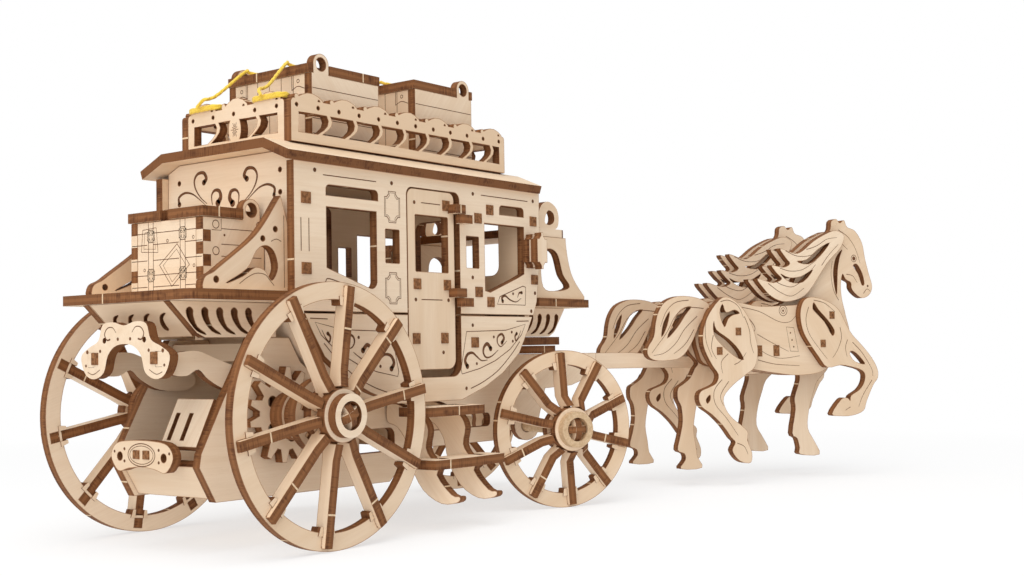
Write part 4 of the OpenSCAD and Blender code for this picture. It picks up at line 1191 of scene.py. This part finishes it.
@dataclass
class TrunkMarks:
    """Planks, straps, corner joints and screws of the boot trunk and both roof chests."""

    shop: Workshop
    trunk_rear: float = -30.2
    trunk_half: float = 19.8
    trunk_low: float = 89.4
    trunk_high: float = 114.9
    trunk_rows: int = 6
    chest_length: float = 36.0
    chest_half: float = 23.0
    chest_low: float = 143.6
    chests: tuple = ((18.5, 172.0), (76.0, 174.3))

    def build(self) -> None:
        """Marks all three."""
        place(self._trunk(), "boot_trunk_marks", "coach", self.shop.sheet)
        chests = [shape for rear, top in self.chests for shape in self._chest(rear, top)]
        place(chests, "roof_chest_marks", "coach", self.shop.sheet)

    def _joints(self, end: Marks, side: Marks) -> None:
        """Finger joints at a corner: pale on the end where they are burnt on the side.

        Args:
            end: The trunk's end.
            side: The side that meets it at this corner.
        """
        step = (self.trunk_high - self.trunk_low) / self.trunk_rows
        sign = -1 if side.flip else 1
        edge = (sign * self.trunk_half, sign * (self.trunk_half - PLY))
        for k in range(0, self.trunk_rows, 2):
            a, b = self.trunk_low + k * step, self.trunk_low + (k + 1) * step
            end.patch((min(edge), a), (max(edge), b), Part.FACE)
            side.patch((self.trunk_rear + 0.03, a + 0.1), (self.trunk_rear + PLY - 0.1, b - 0.1), Part.EDGE)

    def _trunk(self) -> list[Shape]:
        """The trunk on the boot.

        Returns:
            The marks of its end and its sides.
        """
        x = self.trunk_rear
        end = Marks((x, 0, 0), TO_THE_RIGHT)
        sides = [Marks((0, -self.trunk_half * s, 0), ALONG, flip=s < 0) for s in (1, -1)]
        for side in sides:
            self._joints(end, side)
            side.ring((x + 5.6, 112.6), 1.4).ring((x + 5.6, 103.4), 1.4).ring((-4.8, 113.2), 1.4)
            side.dot((x + 9.4, 109.0), 0.45).dot((-8.6, 109.0), 0.45).dot((x + 9.4, 98.8), 0.45)
            for z in (111.2, 105.8, 101.6, 96.6):
                side.stroke([(x + 8.0 if z > 101 else x + 4, z), (-4.0, z)], 0.26)
            side.stroke([(x + 8.0, 114.6), (x + 8.0, 110.6), (x + 3.8, 110.6)], 0.24)
        for z in (111.0, 106.9, 101.3, 96.0, 91.9):
            for a, b in ((-19.4, -10.6), (-7.4, 7.0), (10.2, 19.4)):
                end.stroke([(a, z), (b, z)], 0.26)
        for y in (-8.6, 9.0):
            for edge in (-1.35, 1.35):
                end.stroke([(y + edge, 89.6), (y + edge, 114.8)], 0.26)
            for z in (109.9, 96.0):
                end.patch((y - 1.9, z - 2.2), (y + 1.9, z + 2.2), Part.FACE)
                end.plaque((y - 1.9, z - 2.2), (y + 1.9, z + 2.2), 0.35)
                for s in (-0.62, 0.62):
                    end.ring((y + s, z + 0.6), 0.4, 0.18)
                    end.stroke([(y + s, z - 1.4), (y + s, z - 0.3)], 0.2)
        end.stroke([(-14.0, 104.6), (-13.2, 112.4), (-5.6, 112.8), (-4.6, 104.0)], 0.3, closed=True)
        end.stroke([(-12.6, 105.6), (-12.0, 111.4), (-6.8, 111.6), (-6.0, 105.2)], 0.2, closed=True)
        end.stroke([(6.0, 106.4), (12.6, 98.8), (3.0, 91.6), (-3.8, 99.4)], 0.34, closed=True)
        end.stroke([(5.6, 104.6), (10.6, 98.8), (3.2, 93.2), (-1.8, 99.2)], 0.22, closed=True)
        for at in ((0.7, 107.8), (14.7, 108.2), (15.0, 98.4), (-12.2, 98.0)):
            end.ring(at, 0.5, 0.24)
        return [end.shape()] + [side.shape() for side in sides]

    def _chest(self, rear: float, high: float) -> list[Shape]:
        """A roof chest: upright planks and corner plates on its ends, level planks on its sides.

        Args:
            rear: Where its rear end is.
            high: The height of its walls' upper edge.

        Returns:
            The marks of its four walls.
        """
        low, front = self.chest_low, rear + self.chest_length
        made = []
        for s, at in ((1, rear), (-1, front)):
            end = Marks((at, 0, 0), TO_THE_RIGHT, flip=s < 0)
            for k in range(-2, 3):
                end.stroke([(k * 6.6, low + 0.2), (k * 6.6, high - 0.2)], 0.28)
            for y in (-1, 1):
                for edge, inward, dot in ((high, -1, -2.4), (low, 1, 2.6)):
                    corner = [(12.4, 5.6), (15.6, 4.4), (19.2, 5.6)]
                    end.stroke([(y * a, edge + inward * b) for a, b in corner], 0.3, curved=True)
                    end.stroke([(y * 12.4, edge + inward * 0.2), (y * 12.4, edge + inward * 5.6)], 0.3)
                    end.ring((y * 15.8, edge + dot), 0.65, 0.3)
            made.append(end.shape())
        for s in (1, -1):
            side = Marks((0, -self.chest_half * s, 0), ALONG, flip=s < 0)
            for z in np.linspace(low, high, 6)[1:-1]:
                side.stroke([(rear + 0.4, z), (front - 0.4, z)], 0.28)
            made.append(side.shape())
        return made


@dataclass
class RackMarks:
    """A rosette on the medallion of the rear and the front rail."""

    shop: Workshop
    rails: tuple = ((1.2, 1), (125.0, -1))
    medal_z: float = 150.9

    def build(self) -> None:
        """Marks both end rails."""
        pieces = []
        for x, s in self.rails:
            end = Marks((x, 0, self.medal_z), TO_THE_RIGHT, flip=s < 0)
            for k, a in enumerate(np.linspace(0, math.tau, 13)[:-1]):
                outer = 2.3 if k % 2 else 3.0
                ray = [(0.7 * math.cos(a), math.sin(a)), (outer * 0.66 * math.cos(a), outer * math.sin(a))]
                end.stroke(ray, 0.24)
            end.ring((0, 0), 0.5, 0.24)
            pieces.append(end.shape())
        place(pieces, "rack_marks", "coach", self.shop.sheet)


@dataclass
class HorseMarks:
    """Engraved muscles, hair and harness of both horses, on both sides of each."""

    shop: Workshop
    middles: tuple = (-21.0, 19.0)
    legs_out: float = 8.95
    flank_out: float = 5.35
    core_out: float = 1.75
    thigh: tuple = (
        ((119.0, 82.0), (121.9, 75.6), (122.6, 69.0), (124.4, 63.8)),
        ((97.4, 85.0), (94.9, 78.8), (95.0, 70.3), (98.4, 62.4)),
        ((104.4, 89.2), (109.5, 89.9), (115.3, 87.0), (118.5, 81.3)),
        ((108.4, 64.0), (104.0, 60.0), (104.6, 54.6)), ((99.4, 73.0), (98.2, 66.6), (101.0, 61.6)),
        ((112.0, 58.6), (116.0, 60.4), (119.6, 64.4)),
    )
    raised_hind: tuple = (
        ((104.2, 51.6), (99.3, 46.5), (99.7, 39.9), (106.2, 33.0), (113.3, 24.2)),
        ((108.2, 50.6), (103.0, 44.0), (104.6, 39.0)), ((112.6, 20.6), (116.8, 18.8), (119.0, 15.0)),
    )
    standing_hind: tuple = (
        ((97.0, 54.0), (93.0, 46.4), (93.6, 38.0), (94.6, 30.0), (94.4, 20.0)),
        ((100.6, 48.6), (96.4, 44.6), (95.6, 39.0)), ((92.6, 14.4), (97.4, 14.8)),
    )
    shoulder: tuple = (
        ((161.0, 86.8), (159.0, 80.4), (160.8, 73.4), (167.0, 66.0), (172.6, 60.4)),
        ((182.0, 76.4), (182.8, 71.0), (180.0, 65.0), (176.4, 60.8)),
        ((164.6, 90.2), (171.8, 88.7), (178.8, 84.4)), ((187.0, 70.0), (185.4, 65.8), (186.4, 61.2)),
    )
    raised_fore: tuple = (
        ((190.4, 68.6), (197.0, 63.0), (203.4, 54.6), (204.0, 50.8)),
        ((203.4, 48.8), (197.0, 41.6), (193.4, 35.4)), ((187.6, 35.4), (184.0, 33.8)),
    )
    standing_fore: tuple = (
        ((171.6, 60.0), (171.4, 51.0), (168.6, 42.0), (168.2, 33.0), (166.6, 23.6)),
        ((168.4, 15.6), (173.0, 14.6)),
    )
    flank: tuple = (
        ((110.0, 88.2), (118.4, 87.0), (131.5, 84.6), (143.7, 79.7), (151.4, 79.4), (156.4, 83.4)),
        ((124.0, 82.1), (128.6, 76.7), (127.4, 72.3), (132.5, 65.1), (143.8, 61.2), (157.4, 62.2)),
        ((130.0, 73.3), (137.9, 69.6), (150.0, 64.5)), ((130.0, 60.6), (141.1, 58.3), (157.1, 57.2)),
    )
    mane: tuple = (
        ((143.0, 99.6), (147.8, 97.8), (154.5, 97.2), (162.0, 101.6), (170.0, 108.6)),
        ((138.0, 98.6), (145.3, 94.4), (153.2, 92.4), (161.6, 96.4)),
        ((146.0, 106.4), (152.7, 105.0), (161.2, 106.0), (170.5, 110.9)),
        ((150.0, 115.2), (157.7, 112.7), (166.8, 113.3), (174.5, 117.0)),
        ((164.0, 116.2), (170.9, 118.2), (178.0, 121.8), (185.2, 122.9)),
        ((174.0, 108.2), (179.0, 113.6), (186.0, 119.4)),
    )
    tail: tuple = (
        ((99.6, 86.2), (89.1, 86.5), (82.4, 82.4), (77.2, 74.8), (71.6, 68.7), (68.1, 65.0)),
        ((95.6, 82.4), (88.0, 76.4), (82.3, 69.5), (75.6, 65.0), (69.0, 63.8)),
        ((90.6, 90.2), (82.6, 89.0), (77.0, 84.6), (73.4, 77.4)),
        ((93.4, 76.0), (88.0, 69.0), (81.0, 64.4)),
    )
    head: tuple = (
        ((189.6, 127.4), (196.2, 124.0), (201.4, 118.0), (204.6, 110.2)),
        ((194.6, 104.2), (199.0, 103.4), (202.2, 99.8)), ((206.4, 94.2), (209.0, 96.6), (211.4, 95.4)),
        ((191.4, 120.6), (196.0, 117.2)), ((188.6, 90.6), (185.2, 96.0), (183.8, 104.0), (185.0, 111.0)),
    )

    def build(self) -> None:
        """Marks both horses."""
        for name, middle in zip(("right", "left"), self.middles):
            pieces = []
            for side in (-1, 1):
                pieces += self._side(middle, side)
            place(pieces, f"{name}_horse_marks", "front_carriage", self.shop.sheet)

    def _side(self, middle: float, side: int) -> list[Shape]:
        """One side of one horse; the legs on its right side are the raised ones.

        Args:
            middle: Where the horse's middle lies across the coach.
            side: -1 for its right side, 1 for its left.

        Returns:
            The marks of legs, flank and core.
        """
        def face(out: float) -> Marks:
            """A face of the horse at a distance from its middle."""
            origin = KINGPIN + LEFT * (middle + side * out)
            return Marks(tuple(origin), tuple(AHEAD), flip=side > 0)
        legs, flank, core = face(self.legs_out), face(self.flank_out), face(self.core_out)
        raised = side < 0
        hind = self.thigh + (self.raised_hind if raised else self.standing_hind)
        fore = self.shoulder + (self.raised_fore if raised else self.standing_fore)
        drawn = ((legs, hind + fore), (flank, self.flank + self.mane), (core, self.tail + self.head))
        for marks, lines in drawn:
            for line in lines:
                marks.stroke(line, 0.3, curved=True, taper=(1.2, 0.6))
        for at in ((115.0, 74.7), (103.1, 65.4), (176.7, 82.6), (170.1, 68.2)):
            legs.tenon(at, (3.4, 3.8), 0.3)
        for at in ((130.9, 64.9), (142.1, 64.9)):
            flank.tenon(at, (3.4, 4.8), 0.3)
        flank.ring((147.2, 85.0), 2.6, 0.3).ring((147.2, 85.0), 1.5, 0.24).dot((147.2, 85.0), 0.6)
        flank.stroke([(149.0, 76.8), (154.0, 76.4), (156.6, 64.4), (151.4, 64.6)], 0.26, closed=True)
        for at in ((151.6, 73.8), (152.6, 70.2), (153.6, 66.8)):
            flank.dot(at, 0.45)
        # The eye is a hole, laid as a dark spot of painted shade.
        core.dot((200.2, 112.6), 1.1).ring((200.2, 112.6), 1.8, 0.3).dot((209.6, 98.2), 0.6)
        return [legs.shape(), flank.shape(), core.shape()]


@dataclass(frozen=True)
class Wheel:
    """Sizes of one axle's two wheels, and where their axle lies."""

    radius: float
    track: float
    first_spoke: float
    hub_back: float
    axle: Array
    ahead: Array
    left: Array
    bodies: tuple[str, str]

    @property
    def centre(self) -> Array:
        """The middle of the axle."""
        return self.axle + self.radius * UP


WHEELS = {
    "rear": Wheel(46.0, 52.7, 7.9, 3.2, np.zeros(3), np.array([1.0, 0, 0]), np.array([0, 1.0, 0]),
                  ("rear_wheels", "rear_wheels")),
    "front": Wheel(33.5, 51.9, -4.2, 0.0, KINGPIN, AHEAD, LEFT, ("front_wheel_right", "front_wheel_left")),
}
SIDES = ((-1, "right"), (1, "left"))


@dataclass
class HubCaps:
    """Domed cap of each wheel: two half discs that cross on a square."""

    shop: Workshop
    radius: float = 5.6
    rise: float = 4.4
    thick: float = 2.9
    steps: int = 14
    hub_out: float = 6.8
    turns: tuple[tuple[str, float], ...] = (("rear", 24.0), ("front", 0.0))

    def build(self) -> None:
        """Caps all four wheels."""
        for side, name in SIDES:
            for which, turn in self.turns:
                wheel = WHEELS[which]
                body = wheel.bodies[side > 0]
                place(self._cap(wheel, side, turn), f"{which}_hub_cap_{name}", body, self.shop.sheet)

    def _cap(self, wheel: Wheel, side: int, turn: float) -> list[Shape]:
        """Both half discs of a cap.

        Args:
            wheel: The axle's sizes.
            side: -1 on the right, 1 on the left.
            turn: The first half disc's angle from level, in degrees.

        Returns:
            The two half discs.
        """
        out = wheel.left * side
        centre = wheel.centre + out * (wheel.track - wheel.hub_back + self.hub_out)
        shapes = []
        for quarter, low in ((0, 0.0), (90, 0.02)):
            a = math.radians(turn + quarter)
            along = math.cos(a) * wheel.ahead + math.sin(a) * UP
            shapes.append(self._half_disc(centre + out * low, along, out))
        return shapes

    def _half_disc(self, centre: Array, along: Array, out: Array) -> Shape:
        """A plate whose outline is (radius cos t, rise sin t) for t from 0 to half a turn.

        Args:
            centre: The middle of its straight edge.
            along: The direction of that edge.
            out: The direction away from the wheel.

        Returns:
            The plate.
        """
        t = np.linspace(0, math.pi, self.steps)
        line = centre + np.outer(self.radius * np.cos(t), along) + np.outer(self.rise * np.sin(t), out)
        side = unit(np.cross(out, along)) * self.thick / 2
        points = np.concatenate([line + side, line - side])
        n = self.steps
        k = np.arange(n - 1)
        fan = np.arange(1, n - 1)
        front = np.stack([np.zeros(n - 2, int), fan, fan + 1], 1)
        rim = np.concatenate([np.stack([k, k + n, k + n + 1], 1), np.stack([k, k + n + 1, k + 1], 1)])
        base = np.array([(n - 1, 2 * n - 1, n), (n - 1, n, 0)])
        faces = np.concatenate([front, front[:, ::-1] + n, rim, base])
        part = np.repeat([Part.FACE.value, Part.EDGE.value], [2 * (n - 2), len(rim) + 2])
        corner = points[faces].reshape(-1, 3)
        a, b, c = points[faces[0]]
        normal = np.cross(b - a, c - a)
        order = np.arange(len(corner)).reshape(-1, 3)
        if normal @ side < 0:
            order = order[:, ::-1]
        zero = np.zeros(len(corner))
        return Shape(corner, order, part, corner - centre, zero, zero + 0.4)


@dataclass
class SpokeLocks:
    """Small lugs on a rim's inner edge, one on each side of every spoke."""

    shop: Workshop
    spokes: int = 10
    near: float = 1.95
    far: float = 3.9
    below: float = 2.0
    above: float = 1.1
    back: float = -3.9
    proud: float = 0.4

    def build(self) -> None:
        """Locks the spokes of all four wheels."""
        for side, name in SIDES:
            for which, wheel in WHEELS.items():
                body = wheel.bodies[side > 0]
                place([self._lugs(wheel, side)], f"{which}_spoke_locks_{name}", body, self.shop.sheet)

    def _lugs(self, wheel: Wheel, side: int) -> Shape:
        """Every lug of a wheel: blocks on both sides of the angles 360 i / n + first from upright.

        Args:
            wheel: The axle's sizes.
            side: -1 on the right, 1 on the left.

        Returns:
            All lugs as one shape.
        """
        axle, out = wheel.centre, wheel.left * side
        inner = wheel.radius - RIM_WIDTH
        turn = np.radians(360 * np.arange(self.spokes) / self.spokes + wheel.first_spoke)
        radial = np.outer(np.sin(turn), wheel.ahead) + np.outer(np.cos(turn), UP)
        tangent = np.outer(np.cos(turn), wheel.ahead) - np.outer(np.sin(turn), UP)
        box = np.array([(t, r, d) for d in (0, 1) for t, r in ((0, 0), (1, 0), (1, 1), (0, 1))], float)
        corners = []
        for sign in (-1, 1):
            t = sign * (self.near + (self.far - self.near) * box[:, 0] * (1 - 0.35 * (1 - box[:, 1])))
            r = inner - self.below + (self.below + self.above) * box[:, 1]
            d = wheel.track + self.back + (self.proud - self.back) * box[:, 2]
            flat = t[None, :, None] * tangent[:, None] + r[None, :, None] * radial[:, None]
            corners.append(axle + flat + d[None, :, None] * out)
        points = np.concatenate(corners).reshape(-1, 3)
        ends = [(4, 5, 6), (4, 6, 7), (0, 2, 1), (0, 3, 2)]
        walls = [(0, 1, 5), (0, 5, 4), (1, 2, 6), (1, 6, 5), (2, 3, 7), (2, 7, 6), (3, 0, 4), (3, 4, 7)]
        block = np.array(ends + walls)
        faces = (np.arange(2 * self.spokes)[:, None, None] * 8 + block).reshape(-1, 3)
        middle = points.reshape(-1, 8, 3).mean(1).repeat(len(block), 0)
        corner = points[faces]
        normal = np.cross(corner[:, 1] - corner[:, 0], corner[:, 2] - corner[:, 0])
        inward = ((corner.mean(1) - middle) * normal).sum(1) < 0
        faces[inward] = faces[inward][:, ::-1]
        part = np.tile(np.repeat([Part.FACE.value, Part.EDGE.value], [4, 8]), 2 * self.spokes)
        flat = points[faces].reshape(-1, 3)
        zero = np.zeros(len(flat))
        return Shape(flat, np.arange(len(flat)).reshape(-1, 3), part, flat - axle, zero, zero + 0.55)


@dataclass
class Lashing:
    """The yellow cord: a twisted strand over both chests, wound round the rear rail's crests."""

    shop: Workshop
    radius: float = 0.62
    around: int = 12
    twist: float = 2.25
    swell: float = 0.13
    windings: int = 3
    rail_x: float = 2.95
    crest_y: float = 17.9
    rail_top: float = 159.3
    route: tuple = (
        (-1.8, 17.9, 160.9), (-0.6, 15.6, 163.7), (4.8, 14.5, 166.1), (16.5, 11.5, 176.5),
        (19.5, 11, 176.4), (36, 8.6, 176.3), (53.5, 6, 176.4), (56.5, 5, 176.5), (65.2, 3, 174.7),
        (74, 5, 178.8), (77, 6, 178.7), (94, 8, 178.6), (111, 10, 178.7), (114, 10.5, 178.8),
        (122, 12, 165.9), (126.4, 12, 163.8), (127.2, 12, 157.3),
    )

    def build(self) -> None:
        """Lays both strands, and a racetrack-shaped winding round each outer crest of the rear rail."""
        for side, name in SIDES:
            strand = smooth([(x, side * y, z) for x, y, z in self.route], steps=14)
            self._rope(strand, f"lashing_strand_{name}")
            turn = np.linspace(0, self.windings * math.tau, 132)
            x = self.rail_x + 2.55 * np.clip(1.5 * np.cos(turn), -1, 1)
            y = side * self.crest_y + 8.2 * np.sin(turn)
            z = self.rail_top + 0.75 + 0.432 * turn / math.tau
            self._rope(np.stack([x, y, z], 1), f"lashing_winding_{name}")

    def _rope(self, path: Array, name: str) -> None:
        """A strand of three plies: its radius is r (1 + 0.13 cos(3 a - k s)) at length s and angle a.

        Args:
            path: Points along its middle.
            name: The object's name.
        """
        along = unit(np.gradient(path, axis=0))
        side = unit(np.cross(along, (0.31, 0.12, 1.0)))
        up = np.cross(side, along)
        length = np.concatenate([[0], np.cumsum(np.linalg.norm(np.diff(path, axis=0), axis=1))])
        angle = np.arange(self.around) * math.tau / self.around
        swell = self.radius * (1 + self.swell * np.cos(3 * angle[None] - self.twist * length[:, None]))
        ring = (path[:, None] + swell[..., None] * (np.cos(angle)[None, :, None] * side[:, None]
                + np.sin(angle)[None, :, None] * up[:, None])).reshape(-1, 3)
        rows, n = len(path), self.around
        i, j = np.meshgrid(np.arange(rows - 1), np.arange(n), indexing="ij")
        a, b = (i * n + j).ravel(), (i * n + (j + 1) % n).ravel()
        quads = np.concatenate([np.stack([a, b, b + n], 1), np.stack([a, b + n, a + n], 1)])
        fan = np.arange(1, n - 1)
        caps = np.concatenate([np.stack([np.zeros(n - 2, int), fan + 1, fan], 1),
                               np.stack([np.zeros(n - 2, int), fan, fan + 1], 1) + (rows - 1) * n])
        faces = np.concatenate([quads, caps])
        local = np.stack([np.repeat(length, n), np.tile(angle, rows), np.zeros(rows * n)], 1)
        count = len(ring)
        shape = Shape(ring * MM, faces, np.zeros(len(faces), int), local, np.zeros(count), np.zeros(count))
        piece = shape.mesh(name, [self.shop.cord])
        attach(piece, "coach")
        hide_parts("lashing_cord")


# ---- studio --------------------------------------------------------------

@dataclass
class Studio:
    """White floor, soft lamps and the camera."""

    eye: Triple = (-324.86, -379.6, 66.53)
    yaw: float = 52.41
    pitch: float = 2.77
    roll: float = -1.03
    lens: float = 46.72

    def build(self) -> None:
        """Sets up camera, floor, lamps and world."""
        self._camera()
        self._floor()
        self._lamps()
        scene = bpy.context.scene
        scene.view_settings.view_transform = "Standard"

    def _camera(self) -> None:
        """Places the camera from its eye point and three angles."""
        yaw, pitch, roll = (math.radians(v) for v in (self.yaw, self.pitch, self.roll))
        level = math.cos(pitch)
        forward = np.array([math.sin(yaw) * level, math.cos(yaw) * level, math.sin(pitch)])
        right = np.array([math.cos(yaw), -math.sin(yaw), 0.0])
        up = np.cross(right, forward)
        turned = math.cos(roll) * right + math.sin(roll) * up
        upper = math.cos(roll) * up - math.sin(roll) * right
        matrix = np.eye(4)
        matrix[:3, :3] = np.stack([turned, upper, -forward], 1)
        matrix[:3, 3] = np.array(self.eye) * MM
        data = bpy.data.cameras.new("camera")
        data.lens = self.lens
        data.sensor_width = 36.0
        data.clip_start = 0.01
        camera = bpy.data.objects.new("camera", data)
        camera.matrix_world = matrix.T.tolist()
        bpy.context.scene.collection.objects.link(camera)
        bpy.context.scene.camera = camera

    def _floor(self) -> None:
        """A wide white sheet under the wheels that keeps the shadow."""
        size = 6.0
        data = bpy.data.meshes.new("floor")
        corners = [(-size, -size, 0), (size, -size, 0), (size, size, 0), (-size, size, 0)]
        data.from_pydata(corners, [], [(0, 1, 2, 3)])
        floor = bpy.data.objects.new("floor", data)
        bpy.context.scene.collection.objects.link(floor)
        n = Nodes("white floor")
        n.shader.inputs["Base Color"].default_value = (0.97, 0.97, 0.97, 1)
        n.shader.inputs["Roughness"].default_value = 0.9
        n.shader.inputs["Specular IOR Level"].default_value = 0.0
        glow = n.node("ShaderNodeEmission", Strength=1.0)
        glow.inputs["Color"].default_value = (1, 1, 1, 1)
        where = n.node("ShaderNodeTexCoord")
        away = n.node("ShaderNodeVectorMath", operation="LENGTH")
        n.link(where, "Object", away, 0)
        share = n.node("ShaderNodeMapRange")
        for socket, value in (("From Min", 0.3), ("From Max", 0.7), ("To Min", 0.62), ("To Max", 1.0)):
            share.inputs[socket].default_value = value
        n.link(away, "Value", share, "Value")
        both = n.node("ShaderNodeMixShader")
        n.link(share, "Result", both, 0)
        n.link(n.shader, "BSDF", both, 1)
        n.link(glow, "Emission", both, 2)
        n.link(both, "Shader", n.output, "Surface")
        data.materials.append(n.material)

    def _lamps(self) -> None:
        """A large soft lamp above, a weaker one from the viewer's side, and an even world."""
        for name, stand, aim, size, power in (
            ("top lamp", (-0.4, -0.25, 1.5), (0.12, 0, 0.05), 1.6, 19.0),
            ("side lamp", (-1.4, -0.6, 0.6), (0.12, 0, 0.08), 1.2, 9.5),
        ):
            data = bpy.data.lights.new(name, "AREA")
            data.size = size
            data.energy = power
            lamp = bpy.data.objects.new(name, data)
            back = unit(np.array(stand, float) - np.array(aim, float))
            side = unit(np.cross((0.0, 0.0, 1.0), back))
            matrix = np.eye(4)
            matrix[:3, :3] = np.stack([side, np.cross(back, side), back], 1)
            matrix[:3, 3] = stand
            lamp.matrix_world = matrix.T.tolist()
            bpy.context.scene.collection.objects.link(lamp)
        world = bpy.data.worlds.new("studio")
        world.use_nodes = True
        tree = world.node_tree
        tree.nodes.clear()
        out = tree.nodes.new("ShaderNodeOutputWorld")
        mix = tree.nodes.new("ShaderNodeMixShader")
        path = tree.nodes.new("ShaderNodeLightPath")
        soft, white = tree.nodes.new("ShaderNodeBackground"), tree.nodes.new("ShaderNodeBackground")
        soft.inputs["Color"].default_value = (1, 1, 1, 1)
        soft.inputs["Strength"].default_value = 0.46
        white.inputs["Color"].default_value = (1, 1, 1, 1)
        white.inputs["Strength"].default_value = 1.0
        tree.links.new(path.outputs["Is Camera Ray"], mix.inputs["Fac"])
        tree.links.new(soft.outputs[0], mix.inputs[1])
        tree.links.new(white.outputs[0], mix.inputs[2])
        tree.links.new(mix.outputs[0], out.inputs["Surface"])
        bpy.context.scene.world = world


def write_sizes() -> None:
    """Meant for the frame's box and the visual model's box; it only defines a helper that turns a box into
    plain lists, and writes nothing.
    """

    def plain(box: object) -> list:
        """A box as two lists of numbers."""
        return [[float(v) for v in corner] for corner in box]


def main() -> None:
    """Builds the studio, the sheets and what is laid on them."""
    logging.basicConfig(level=logging.INFO, format="%(message)s")
    Studio().build()
    shop = Workshop()
    PlateSet(shop).build()
    for maker in (SideMarks, EndMarks, TrunkMarks, RackMarks, HorseMarks, HubCaps, SpokeLocks, Lashing):
        maker(shop).build()
    write_sizes()


if __name__ == "__main__":
    main()
